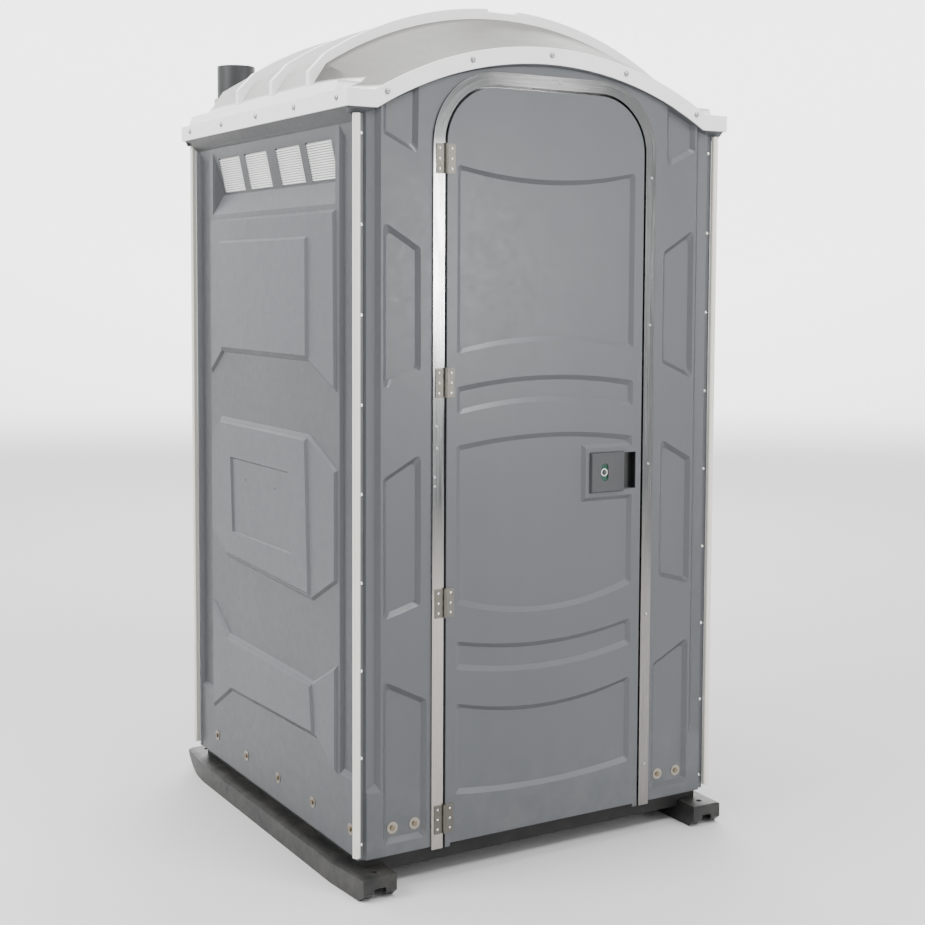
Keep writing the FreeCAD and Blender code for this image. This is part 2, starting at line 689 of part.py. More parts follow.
def gate(half, top, radius, bottom):
    """The outline of the doorway: upright sides and round top corners."""
    reach = radius * math.sqrt(0.5)
    return [(-half, bottom), (half, bottom), (half, top - radius),
            ("arc", half - radius + reach, top - radius + reach), (half - radius, top), (radius - half, top),
            ("arc", radius - half - reach, top - radius + reach), (-half, top - radius)]


def arch(half, foot, crown, base):
    """A flat-sided outline under a curve that rises from (half, foot) to crown in the middle."""
    return [(-half, base), (half, base), (half, foot), ("arc", 0, crown), (-half, foot)]


# The raised fields of the side walls: outer border, then the flat inside it (Y, Z).
UPPER_FIELD = [(-429, 1745), (-435, 1276), (-265, 1347), (337, 1347), (437, 1276), (437, 1745)]
UPPER_FLAT = [(-263, 1672), (-264, 1364), (337, 1364), (345, 1672)]
MIDDLE_FIELD = [(-267, 1154), (-436, 1075), (-436, 782), (-289, 708), (316, 731), (437, 797), (437, 1093),
                (360, 1154)]
MIDDLE_FLAT = [(-258, 1136), (-275, 728), (304, 750), (345, 1136)]
LOWER_FIELD = [(-294, 493), (-436, 567), (-436, 275), (-317, 340), (289, 325), (437, 239), (437, 582),
               (306, 501)]
LOWER_FLAT = [(-284, 475), (-298, 357), (276, 342), (293, 483)]
SIGN_RECESS = [(267, 1040), (-150, 1040), (-172, 816), (253, 816)]
SIGN_HOLES = [(160, 982), (-51, 982)]


def side_form():
    """A block whose outer face carries every form of the left wall."""
    ground, slope, facet = size("field_depth"), size("form_slope"), size("facet_depth")
    channel, flange = size("channel_depth"), size("corner_flange_depth")
    edge, inner = size("side_sheet_half_depth"), size("channel_inner")
    bottom, soffit = size("wall_bottom"), size("soffit_bottom")
    block = size("vent_inset") + 40
    corner = edge - size("corner_flange_width")
    half_plan = [(inner, ground), (inner + slope, channel), (corner - slope, channel), (corner, flange),
                 (edge, flange)]
    plan_points = half_plan + [(edge, block), (-edge, block)] + [(-u, d) for u, d in reversed(half_plan)]
    form = between(plan_points, bottom, plan_points, size("rim_bottom"),
                   lambda u, d, height: left_wall(u, height, d))
    for sign in (-1, 1):
        low, high = size("channel_bottom") - 2 * slope, size("channel_bottom")
        foot = [(ground, bottom), (ground, low), (channel + 1, high), (channel + 1, bottom)]
        fill = between(foot, sign * inner, foot, sign * corner, along_wall)
        form = form.fuse(fill)
    top, out = size("rim_bottom"), size("wall_half_width") - size("rim_half_width") + size("roof_sheet")
    lap, ceiling = top + size("wall_lap"), size("channel_top")
    eave = [(ground, soffit), (out, top), (out, lap), (block, lap), (block, ceiling),
            (channel + 1, ceiling + slope)]
    form = form.fuse(between(eave, -edge, eave, edge, along_wall))
    reach, foot = size("wall_half_depth") - size("corner_gap"), top - size("corner_cap_drop")

    def cap(low):
        share = (low - soffit) / (top - soffit)
        return [(ground + (out - ground) * share, low), (out, top), (out, lap), (block, lap), (block, low)]

    for sign in (-1, 1):
        end = cap(foot + size("corner_cap_rise"))
        form = form.fuse(between(cap(foot), sign * (edge - 1), end, sign * reach, along_wall))
    for border, flat in ((UPPER_FIELD, UPPER_FLAT), (MIDDLE_FIELD, MIDDLE_FLAT), (LOWER_FIELD, LOWER_FLAT)):
        form = form.fuse(between(drawn_in(border, -2), ground + 2, drawn_in(border, slope), facet, left_wall))
        form = form.fuse(between(drawn_in(flat, -slope), facet + 1, flat, 0, left_wall))
    sunk = size("sign_recess_depth")
    form = form.cut(between(drawn_in(SIGN_RECESS, -1), -1, drawn_in(SIGN_RECESS, sunk - 1), sunk, left_wall))
    deepest = ground + size("vent_inset") - facet
    sill, head = size("vent_bottom"), size("vent_top")
    hood = [(ground - 9, head + PAST), (ground, head), (deepest, size("vent_deepest")), (ground, sill),
            (ground - 9, sill - PAST)]
    half = size("vent_half_width")
    end = half - size("vent_side_run")
    pocket = between(hood, -half, hood, half, along_wall)
    funnel = between(rectangle(-half, sill - 3 * PAST, half, head + 3 * PAST), ground - 10,
                     rectangle(-end, sill - 3 * PAST, end, head + 3 * PAST), deepest + 10, left_wall)
    below = prism(rectangle(-half - 9, sill - 2 * PAST, half + 9, sill), 0, block, left_wall)
    return form.cut(pocket.common(funnel).cut(below))


def window_spans():
    """The Y limits of the four vent windows of a side wall."""
    bars = [size("vent_mullion"), size("vent_middle_mullion"), size("vent_mullion")]
    width = size("vent_window_width")
    start = -(4 * width + sum(bars)) / 2
    spans = []
    for bar in bars + [0]:
        spans.append((start, start + width))
        start += width + bar
    return spans


def side_walls():
    form = side_form()
    inner = form.copy()
    inner.translate(Vector(size("wall_sheet"), 0, 0))
    sheet_shape = form.cut(inner)
    tools = []
    for low, high in window_spans():
        window = rectangle(low, size("vent_window_bottom"), high, size("vent_window_top"))
        tools.append(prism(window, 5, 4 * PAST, left_wall))
    hole = size("bolt_radius") + size("bolt_clearance")
    for y in side_bolts():
        start = left_wall(y, size("base_bolt_z"), -1)
        tools.append(Part.makeCylinder(hole, 2 * PAST, start, Vector(1, 0, 0)))
    for y, z in SIGN_HOLES:
        start = left_wall(y, z, -1)
        tools.append(Part.makeCylinder(size("sign_hole_radius"), 2 * PAST, start, Vector(1, 0, 0)))
    left = formed("side_wall_left_shape", sheet_shape.cut(tools))
    piece("side_wall_left", left)
    piece("side_wall_right", mirrored("side_wall_right_shape", left))


def side_bolts():
    return [size("side_bolt_first") - size("side_bolt_pitch") * number for number in range(5)]


def front_bolts():
    near, far = size("end_bolt_near"), size("end_bolt_far")
    return [-far, -near, near, far]


# The sunk fields beside the door, left of the middle (X, Z).
FRONT_FIELDS = [
    [(-495, 2100), (-495, 1928), (-396, 1880), (-393, 2100)],
    [(-495, 1288), (-386, 1337), (-387, 1647), (-495, 1713)],
    [(-495, 700), (-385, 731), (-385, 1124), (-495, 1064)],
    [(-495, 118), (-366, 118), (-366, 481), (-495, 547)],
]
# The sunk fields of the back wall.
BACK_FIELDS = [
    [(-440, 1160), (440, 1160), (440, 1780), (360, 1830), (-360, 1830), (-440, 1780)],
    [(-330, 240), (330, 240), (330, 1060), (-330, 1060)],
    [(-495, 118), (-366, 118), (-366, 481), (-495, 547)],
    [(366, 118), (495, 118), (495, 547), (366, 481)],
]


def eased(solid, radius, world):
    """The same solid with its sloping corner edges rounded."""
    way = world(0, 0, 1) - world(0, 0, 0)
    corners = []
    for edge in solid.Edges:
        run = edge.Vertexes[0].Point - edge.Vertexes[-1].Point
        if abs(run.dot(way)) > 1:
            corners.append(edge)
    return solid.makeFillet(radius, corners)


def end_form(fields):
    """A block whose outer face carries the forms of the front or the back wall."""
    flange, run, block = size("corner_flange_depth"), size("sunk_slope"), 3 * PAST
    edge, main = size("front_sheet_half_width"), size("front_main_half_width")
    ramp, lip = size("groove_outer"), flange - size("groove_rise")
    beyond = ramp + size("groove_edge_run")
    half_plan = [(main, 0), (main + run, flange), (ramp, lip), (beyond, flange), (edge, flange)]
    points = half_plan + [(edge, block), (-edge, block)] + [(-u, d) for u, d in reversed(half_plan)]

    def upright(u, d, height):
        return front_wall(u, height, d)

    form = between(points, size("wall_bottom"), points, size("rim_arch_bottom") + 3 * PAST, upright)
    low, high = size("groove_bottom") - 2 * run, size("groove_bottom")
    for sign in (-1, 1):
        fill = [(sign * main, flange + 1), (sign * main, 0), (sign * ramp, 0), (sign * beyond, flange + 1)]
        sunk = [(u, d + flange + 1) for u, d in fill]
        form = form.fuse([between(fill, size("wall_bottom"), fill, low, upright),
                          between(fill, low, sunk, high, upright)])
    cutters = []
    for field in fields:
        cutter = between(drawn_in(field, -1), -1, drawn_in(field, run), flange, front_wall)
        cutters.append(eased(cutter, size("field_corner"), front_wall))
    form = form.cut(cutters)
    out, wide = -size("rim_lap"), size("eave_half_width")
    return form.fuse(between(eaves(wide, *EAVE_FOOT), flange + 2, eaves(wide, *EAVE_LIP), out, front_wall))


# The end walls' upper band, at its foot and at its lip: how far it lies below the rim at the sides,
# outside the end of the rim's arch, and below the middle of that arch.
EAVE_FOOT = (16, 20, 15)
EAVE_LIP = (2, 12, 2)


def eaves(edge, drop, spread, arch_drop):
    """The outline of an end wall's upper band, whose lower edge follows the rim."""
    half, top = size("rim_arch_half_width") + spread, size("rim_arch_bottom") + 4 * PAST
    foot, crest = size("rim_bottom") - drop, size("rim_arch_bottom") - arch_drop
    return [(-edge, foot), (-half, foot), ("arc", 0, crest), (half, foot), (edge, foot), (edge, top),
            (-edge, top)]


def end_sheet(fields):
    form = end_form(fields)
    inner = form.copy()
    inner.translate(Vector(0, size("wall_sheet"), 0))
    sheet_shape = form.cut(inner)
    edge, half, lap = size("eave_half_width") + 1, size("rim_arch_half_width"), size("wall_lap")
    low, high = size("rim_bottom") + lap, size("rim_arch_bottom") + lap
    trim = [(-edge, 0), (edge, 0), (edge, low), (half, low), ("arc", 0, high), (-half, low), (-edge, low)]
    return sheet_shape.common(prism(trim, -PAST, 4 * PAST, front_wall))


def end_walls():
    front = end_sheet(FRONT_FIELDS + [[(-u, v) for u, v in field] for field in FRONT_FIELDS])
    gap = size("frame_fit")
    half = size("frame_half_width") - size("frame_bar") + size("frame_web") + gap
    top = size("frame_top") - size("frame_bar") + size("frame_web") + gap
    radius = size("frame_corner_radius") - size("frame_bar") + size("frame_web") + gap
    front = front.cut(prism(gate(half, top, radius, 0), -PAST, 4 * PAST, front_wall))
    hole, z = size("bolt_radius") + size("bolt_clearance"), size("base_bolt_z")
    bolts = [Part.makeCylinder(hole, 2 * PAST, front_wall(x, z, -1), Vector(0, 1, 0)) for x in front_bolts()]
    piece("front_wall", formed("front_wall_shape", front.cut(bolts)))
    back = formed("back_wall_outline", end_sheet(BACK_FIELDS).cut(bolts))
    piece("back_wall", mirrored("back_wall_shape", back, (0, 1, 0)))


def base_floor():
    side = S.wall_half_width - S.field_depth - S.wall_sheet
    end = S.wall_half_depth - S.corner_flange_depth - S.wall_sheet
    inner = side - S.upstand_thickness
    inner_end = end - S.upstand_thickness
    beam = S.skid_outer - S.skid_width - 1
    shell = fuse("tray_shell", [
        box("tray_keel", (-beam, -S.base_half_depth, S.base_bottom),
            (beam * 2, S.base_half_depth * 2, S.keel_height)),
        box("tray_body", (-S.base_half_width, -S.base_half_depth, S.skid_height),
            (S.base_half_width * 2, S.base_half_depth * 2, S.floor_top - S.skid_height)),
        box("tray_rim", (-side, -end, S.wall_bottom), (side * 2, end * 2, S.upstand_top - S.wall_bottom))])
    cuts = [
        box("tray_inside", (-inner, -inner_end, S.floor_top), (inner * 2, inner_end * 2, S.upstand_top)),
        box("tray_hollow", (S.tray_wall - beam, S.tray_wall - S.base_half_depth, 0),
            ((beam - S.tray_wall) * 2, (S.base_half_depth - S.tray_wall) * 2, S.floor_top - S.floor_skin)),
        box("tray_doorway", (-S.doorway_relief, -end - 1, S.sill_step),
            (S.doorway_relief * 2, end - lip_back + 1.7, S.upstand_top))]
    for number, y in enumerate(side_bolts()):
        cuts.append(rod("side_bolt_hole_%d" % number, (-side - 1, y, S.base_bolt_z), "+X",
                        S.bolt_radius + S.bolt_clearance, side * 2 + 2))
    for number, x in enumerate(front_bolts()):
        cuts.append(rod("end_bolt_hole_%d" % number, (x, -end - 1, S.base_bolt_z), "+Y",
                        S.bolt_radius + S.bolt_clearance, end * 2 + 2))
    ribs = []
    for number in range(int(size("floor_rib_count"))):
        y = S.floor_rib_pitch * number + S.floor_rib_first
        ribs.append(box("tread_rib_%d" % number, (-S.floor_rib_half_length, y, S.floor_top - 1),
                        (S.floor_rib_half_length * 2, S.floor_rib_width, S.floor_rib_height + 1)))
    piece("base_floor", fuse("base_floor_shape", [cut("tray", shell, fuse("tray_cuts", cuts))] + ribs))


def corner_strips():
    edge = S.front_sheet_half_width
    for name, x, y in (("front_left", -1, -1), ("front_right", 1, -1), ("back_left", -1, 1),
                       ("back_right", 1, 1)):
        centre = ((edge + S.strip_offset) * x, (flange_plane + S.strip_offset) * y, S.strip_bottom)
        bead = rod("strip_bead_" + name, centre, "+Z", S.strip_radius, S.strip_top - S.strip_bottom)
        corner = (edge * x - (0 if x < 0 else PAST), flange_plane * y - (0 if y < 0 else PAST))
        notch = box("strip_notch_" + name, corner + (S.strip_bottom - 1,), (PAST, PAST, S.strip_top))
        piece("corner_strip_" + name, cut("corner_strip_shape_" + name, bead, notch))


def vent_screens():
    ground, top = size("field_depth"), size("vent_top")
    fall = (size("vent_inset") - size("facet_depth")) / (top - size("vent_deepest"))
    behind = size("wall_sheet")
    back = behind + size("screen_frame")

    def leaning(v, depth):
        return (ground + (top - v) * fall + depth, v)

    low, high = size("vent_window_bottom"), size("vent_window_top")
    spans = window_spans()
    reach = spans[-1][1] + size("louvre_margin")
    foot, head = low - size("screen_lap"), high + size("screen_head_lap")
    plate = [leaning(foot, behind), leaning(foot, back), leaning(head, back), leaning(head, behind)]
    screen = between(plate, -reach, plate, reach, along_wall)
    blades = []
    count, thick = int(size("louvre_count")), size("louvre_thickness")
    drop, lift = size("louvre_drop"), size("louvre_lift")
    for left, right in spans:
        screen = screen.cut(prism(rectangle(left + 2, low + 2, right - 2, high - 2), 0, 5 * PAST, left_wall))
        for number in range(count):
            v = low + 2 + (high - low - 4) * (number + 0.5) / count
            blade = [leaning(v - drop, 1), leaning(v + lift, back), leaning(v + lift + thick, back),
                     leaning(v - drop + thick, 1)]
            blades.append(between(blade, left + 1, blade, right - 1, along_wall))
    left_screen = formed("vent_screen_left_shape", screen.fuse(blades))
    piece("vent_screen_left", left_screen)
    piece("vent_screen_right", mirrored("vent_screen_right_shape", left_screen))


def frame_gate(inset, bottom):
    radius = size("frame_corner_radius") - inset
    return gate(size("frame_half_width") - inset, size("frame_top") - inset, radius, bottom)


def door_frame():
    bar, web, face = size("frame_bar"), size("frame_web"), size("frame_face")
    depth = size("door_thickness") + size("door_stop_gap")
    foot = size("floor_top") + 0.2
    flange = prism(frame_gate(0, size("frame_bottom")), -face, 0, front_wall)
    flange = flange.cut(prism(frame_gate(bar, 0), -face - 1, 1, front_wall))
    sides = prism(frame_gate(bar - web, foot), -1, depth - face + web, front_wall)
    sides = sides.cut(prism(frame_gate(bar, 0), -2, depth + 10, front_wall))
    lip = prism(frame_gate(bar - web, foot), depth - face, depth - face + web, front_wall)
    lip = lip.cut(prism(frame_gate(bar + size("frame_stop"), 0), 0, depth + 10, front_wall))
    piece("door_frame", formed("door_frame_shape", flange.fuse([sides, lip]).removeSplitter()))


def crown(half, foot, rise, base):
    """The section of the dome: a steep shoulder on either side and a round crown."""
    peak = size("roof_top") - size("band_rise") + rise
    radius, shoulder = size("dome_crown_radius"), size("dome_shoulder")
    edge = peak - radius + math.sqrt(radius ** 2 - shoulder ** 2)
    return [(-half, base), (half, base), (half, foot), (shoulder, edge), ("arc", 0, peak), (-shoulder, edge),
            (-half, foot)]


def band_start(number):
    """Where the front of a band lies."""
    return size("band_pitch") * number - size("dome_crest_front")


def roof_bands():
    """The dome's three bands: each starts high behind its rib and falls back to the next."""
    half, ledge = size("dome_half_width") - 1, size("roof_ledge_top") - 1
    rise, base = size("band_rise") - size("rib_step"), ledge - PAST
    bands = []
    for number in range(3):
        start = band_start(number) + size("rib_front")
        bands.append(between(crown(half, ledge, rise, base), start, crown(half, ledge, 0, base),
                             band_start(number + 1), across))
    return bands


def roof_ribs():
    """The ribs along the front of the bands, from ledge to ledge, with upright feet."""
    half, foot = size("dome_half_width") + size("rib_foot"), size("roof_ledge_top") + size("rib_upright")
    base = size("roof_ledge_top") - size("rib_front")
    outline_points = crown(half, foot, size("band_rise"), base)
    ribs = []
    for number in range(3):
        start = band_start(number)
        ribs.append(between(outline_points, start, outline_points, start + size("rib_width"), across))
    return ribs


def roof_form():
    """The whole outside of the roof as one solid down to the lower edge of its rim."""
    half, depth = size("rim_half_width"), size("rim_half_depth")
    low, base = size("rim_bottom"), size("rim_bottom") + size("rim_foot")
    rim_top, arch_top = low + size("rim_height"), size("rim_arch_bottom") + size("rim_height")
    arch_half = size("rim_arch_half_width") + size("rim_arch_spread")
    foot_half = size("dome_half_width")
    ledge = size("roof_ledge_top")
    front, back = -size("dome_crest_front"), size("dome_crest_back")
    rim_section = [(-foot_half, base), (foot_half, base), (foot_half, rim_top), (arch_half, rim_top),
                   ("arc", 0, arch_top), (-arch_half, rim_top), (-foot_half, rim_top)]
    crest = crown(foot_half, ledge, 0, base)
    form = Part.makeBox(half * 2, depth * 2, size("rim_height"), Vector(-half, -depth, low))
    form = form.fuse([between(rim_section, -depth, crest, front, across),
                      between(crest, front, crest, back, across),
                      between(crest, back, rim_section, depth, across)])
    end = size("roof_ledge_half_depth")
    foot = rectangle(-half, -end - 6, half, end + 6)
    top = rectangle(-half + 8, -end, half - 8, end)
    return form.fuse([between(foot, rim_top - 1, top, ledge, plan)] + roof_bands())


def roof():
    form = roof_form()
    skin = size("roof_sheet")
    under = form.copy()
    under.translate(Vector(0, 0, -skin - 1))
    half, depth = size("rim_half_width") - skin, size("rim_half_depth") - skin
    low, high = size("rim_bottom"), size("rim_arch_bottom")
    inside = Part.makeBox(half * 2, depth * 2, size("roof_top"), Vector(-half, -depth, low - 4 * PAST))
    under = under.common(inside)
    notch, deep = size("crest_notch_width"), size("roof_top") - size("crest_notch_depth")
    gap = Part.makeBox(notch, size("rib_width") + PAST, PAST, Vector(-notch / 2, band_start(0) - 1, deep))
    shell = form.fuse(roof_ribs()).cut(gap).cut(under)
    mouth = arch(size("rim_arch_half_width"), low, high, low - PAST)
    shell = shell.cut(prism(mouth, -PAST, size("rim_half_depth") * 2, front_wall))
    x, y, rim_top = -size("pipe_x"), size("pipe_y"), low + size("rim_height")
    radius, top = size("pipe_radius"), size("collar_top")
    start = Vector(x, y, rim_top - 5 * PAST)
    pipe_hole = Part.makeCylinder(radius + size("pipe_clearance"), size("roof_top"), start)
    piece("roof", formed("roof_shape", shell.cut(pipe_hole)))
    above = form.copy()
    above.translate(Vector(0, 0, size("collar_gap")))
    collar = Part.makeCylinder(radius + size("collar_width"), top - rim_top, Vector(x, y, rim_top))
    collar = collar.cut([pipe_hole, above])
    piece("pipe_collar", formed("pipe_collar_shape", max(collar.Solids, key=lambda solid: solid.Volume)))


def vent_pipe():
    height, x = S.pipe_top - S.tank_top, -S.pipe_x
    outside = rod("pipe_outside", (x, S.pipe_y, S.tank_top), "+Z", S.pipe_radius, height)
    bore = rod("pipe_bore", (x, S.pipe_y, S.tank_top - 1), "+Z", S.pipe_radius - S.pipe_wall, height + 2)
    piece("vent_pipe", cut("vent_pipe_shape", outside, bore))


def bowed(left, right, top, top_ends, bottom, bottom_ends, inset=0):
    """A field with upright sides and curved upper and lower edges."""
    return [(left + inset, bottom_ends + inset), ("arc", (left + right) / 2, bottom + inset),
            (right - inset, bottom_ends + inset), (right - inset, top_ends - inset),
            ("arc", (left + right) / 2, top - inset), (left + inset, top_ends - inset)]


# The sunk fields of the door: top middle, top ends, bottom middle, bottom ends.
DOOR_FIELDS = [(1832, 1862, 1404, 1374), (1315, 1291, 1244, 1217), (1160, 1138, 676, 722),
               (596, 626, 519, 549), (424, 461, 198, 216)]


def door_relief(start):
    """The cutters of the door's sunk fields, moved inward by start."""
    half, run, deep = size("door_field_half_width"), size("door_relief_slope"), size("door_relief")
    tools = []
    for levels in DOOR_FIELDS:
        border, flat = bowed(-half, half, *levels, -1), bowed(-half, half, *levels, run)
        cutter = between(border, -1, flat, deep, door_face)
        tools.append(eased(cutter, size("door_field_corner"), door_face))
    reach = size("latch_pad_half_height")
    low, high = size("latch_z") - reach, size("latch_z") + reach
    pad = rectangle(size("latch_plate_left") - size("latch_pad_lap"), low, half + 2 * PAST, high)
    keep = [between(drawn_in(pad, -1), deep + 2, pad, -2, door_face),
            between(drawn_in(pad, -run), deep + 1, pad, -1, door_face)]
    tools[2] = tools[2].cut(keep)
    for tool in tools:
        tool.translate(Vector(0, start, 0))
    return tools


# The raised panels of the door's inner shell: lower and upper edge.
LINER_PANELS = [(220, 900), (1180, 1620)]


def door_shells():
    half = size("frame_half_width") - size("frame_bar") - size("door_gap")
    top = size("frame_top") - size("frame_bar") - size("door_gap")
    radius = size("frame_corner_radius") - size("frame_bar") - size("door_gap")
    bottom, skin = size("door_bottom"), size("door_sheet")
    thick = size("door_thickness") - size("door_liner_sheet")
    outside = prism(gate(half, top, radius, bottom), 0, thick, door_face).cut(door_relief(0))
    low, high = size("latch_z") - size("pull_height") / 2, size("latch_z") + size("pull_height") / 2
    left, right, deep = size("pull_left"), size("pull_right"), size("pull_depth")
    outside = outside.cut(prism(rectangle(left, low, right, high), -1, deep, door_face))
    inside = prism(gate(half - skin, top - skin, radius - skin, bottom + skin), skin, thick + 1, door_face)
    face = prism(rectangle(-half, 0, half, top + PAST), 0, skin, door_face)
    inside = inside.cut([tool.cut(face) for tool in door_relief(skin)])
    inside = inside.cut(prism(rectangle(left - 3, low - 3, right + 3, high + 3), 0, deep + 3, door_face))
    tab_width = size("door_tab_width")
    tabs = [prism(rectangle(x, bottom - size("door_tab"), x + tab_width, bottom + 1), 0, thick, door_face)
            for x in (-half, half - tab_width)]
    bore = Part.makeCylinder(size("spindle_radius") + size("spindle_running"), 3 * PAST,
                             door_face(size("latch_x"), size("latch_z"), -PAST / 2), Vector(0, 1, 0))
    piece("door_outer_shell", formed("door_outer_shell_shape", outside.cut(inside).fuse(tabs).cut(bore)))
    liner = prism(gate(half, top, radius, bottom), thick, size("door_thickness"), door_face)
    back, reach = size("door_thickness"), size("liner_panel_half_width")
    outer = back + size("liner_panel_rise")
    for low, high in LINER_PANELS:
        panel = rectangle(-reach, low, reach, high)
        liner = liner.fuse(between(panel, back - 1, drawn_in(panel, 3), outer, door_face))
    piece("door_inner_shell", formed("door_inner_shell_shape", liner.cut(bore)))


KNUCKLES = 5


def hinge(number, height):
    """Two leaves with five knuckles between them, and the pin through the knuckles."""
    pitch = S.hinge_height / KNUCKLES
    x, y = -S.hinge_x, S.hinge_knuckle_radius * -1 - frame_plane
    bottom = height - S.hinge_height / 2
    gap = S.hinge_knuckle_radius + S.hinge_knuckle_gap
    leaf_y = -frame_plane - S.hinge_leaf
    parts = {"frame": [], "door": []}
    for knuckle in range(KNUCKLES):
        owner = "door" if knuckle % 2 else "frame"
        start = bottom + pitch * knuckle + S.hinge_end_play / 2
        length = pitch - S.hinge_end_play
        name = "%d_%d" % (number, knuckle)
        parts[owner].append(rod("knuckle_" + name, (x, y, start), "+Z", S.hinge_knuckle_radius, length))
        corner = x if owner == "door" else x - gap - 1
        spans = (gap + 1, S.hinge_leaf, length)
        parts[owner].append(box("knuckle_root_" + name, (corner, leaf_y, start), spans))
    for owner, corner in (("frame", x - S.hinge_leaf_reach), ("door", x + gap)):
        name = "%s_%d" % (owner, number)
        parts[owner].append(box("hinge_plate_" + name, (corner, leaf_y, bottom),
                                (S.hinge_leaf_reach - gap, S.hinge_leaf, S.hinge_height)))
        bore = rod("hinge_bore_" + name, (x, y, bottom - 1), "+Z", S.hinge_pin_radius + S.hinge_running,
                   S.hinge_height + 2)
        solid = fuse("hinge_leaf_solid_" + name, parts[owner])
        piece("hinge_leaf_" + name, cut("hinge_leaf_shape_" + name, solid, bore))
    head = bottom + S.hinge_height - S.hinge_end_play / 2
    piece("hinge_pin_%d" % number, fuse("hinge_pin_shape_%d" % number, [
        rod("hinge_pin_rod_%d" % number, (x, y, bottom), "+Z", S.hinge_pin_radius, S.hinge_height + 1),
        rod("hinge_pin_head_%d" % number, (x, y, head), "+Z", S.hinge_knuckle_radius, S.hinge_head)]))


def rivet(name, x, y, z, direction, radius=None, height=None):
    radius = radius or S.rivet_radius
    height = height or S.rivet_height
    return cone(name, (x, y, z), direction, radius, radius * 0.55, height)


def hinges():
    heads = {"frame": [], "door": []}
    for number in range(int(size("hinge_count"))):
        height = S.hinge_first + S.hinge_pitch * number
        hinge(number + 1, height)
        reach = S.hinge_rivet_reach
        for owner, x in (("frame", -S.hinge_x - reach), ("door", reach - S.hinge_x)):
            for row in (-1, 0, 1):
                name = "hinge_rivet_%s_%d_%d" % (owner, number, row + 1)
                z = height + S.hinge_rivet_spread * row
                heads[owner].append(rivet(name, x, -frame_plane - S.hinge_leaf, z, "-Y"))
    for owner in heads:
        piece("hinge_rivets_" + owner, group("hinge_rivets_shape_" + owner, heads[owner]))


def latch_plate():
    left, right, stand = size("latch_plate_left"), size("latch_plate_right"), size("latch_plate_stand")
    half, x, z = size("latch_plate_height") / 2, size("latch_x"), size("latch_z")
    face = rectangle(left, z - half, right, z + half)
    top = rectangle(left + 3, z - half + 3, right - 26, z + half - 3)
    plate = prism(face, -3, 0, door_face).fuse(between(face, -3, top, -stand, door_face))
    room = Part.makeCylinder(size("dial_radius") + 1, stand - 2, door_face(x, z, 0), Vector(0, -1, 0))
    reach, end = size("window_height") / 2, size("window_width") / 2
    low, high = z - reach + end, z + reach - end
    slot = [(x - end, low), ("arc", x, z - reach), (x + end, low), (x + end, high), ("arc", x, z + reach),
            (x - end, high)]
    window = prism(slot, -stand - 1, 1, door_face)
    piece("latch_plate", formed("latch_plate_shape", plate.cut([room, window])))


def latch():
    x, z = S.latch_x, S.latch_z
    dial_back = -frame_plane - 3
    dial_face = dial_back - S.dial_thickness
    disc = rod("dial_disc", (x, dial_back, z), "-Y", S.dial_radius, S.dial_thickness)
    bore = rod("dial_bore", (x, dial_back + 1, z), "-Y", S.spindle_radius + S.dial_fit, 10)
    piece("indicator_dial", cut("indicator_dial_shape", disc, bore))
    disc = rod("ring_disc", (x, dial_face, z), "-Y", S.ring_radius, S.print_height)
    bore = rod("ring_bore", (x, dial_face + 1, z), "-Y", S.ring_hole_radius, 4)
    piece("indicator_ring", cut("indicator_ring_shape", disc, bore))
    marks = [box("mark_%s" % side, (corner, dial_face - S.print_height, z - S.mark_height / 2),
                 (S.mark_width, S.print_height, S.mark_height))
             for side, corner in (("left", x - S.mark_width * 2), ("right", x + S.mark_width))]
    piece("occupied_marks", group("occupied_marks_shape", marks))
    front = dial_face - 4
    arm_front = S.strike_thickness + S.arm_gap - lip_back
    piece("latch_arm", fuse("latch_arm_shape", [
        rod("spindle_rod", (x, front, z), "+Y", S.spindle_radius, S.spindle_length),
        rod("spindle_collar", (x, dial_back, z), "+Y", S.spindle_radius * 1.5, 2.7),
        rod("arm_hub", (x, arm_front, z), "+Y", S.cam_hub_radius, S.cam_thickness),
        box("arm_bar", (x - S.cam_width / 2, arm_front, z), (S.cam_width, S.cam_thickness, S.cam_length))]))
    knob_front = front + S.spindle_length
    grip = box("knob_bar", (x - S.knob_grip_width / 2, knob_front + S.knob_disc - 1, z - S.knob_radius + 2),
               (S.knob_grip_width, S.knob_grip, S.knob_radius * 2 - 4))
    disc = rod("knob_disc", (x, knob_front, z), "+Y", S.knob_radius, S.knob_disc)
    piece("latch_knob", fuse("latch_knob_shape", [disc, grip]))
    lip = opening_half_width - S.frame_stop
    piece("strike_plate", box("strike_plate_shape", (lip + 1, -lip_back, z - S.strike_height / 2),
                              (S.frame_stop + S.frame_web - 2, S.strike_thickness, S.strike_height)))


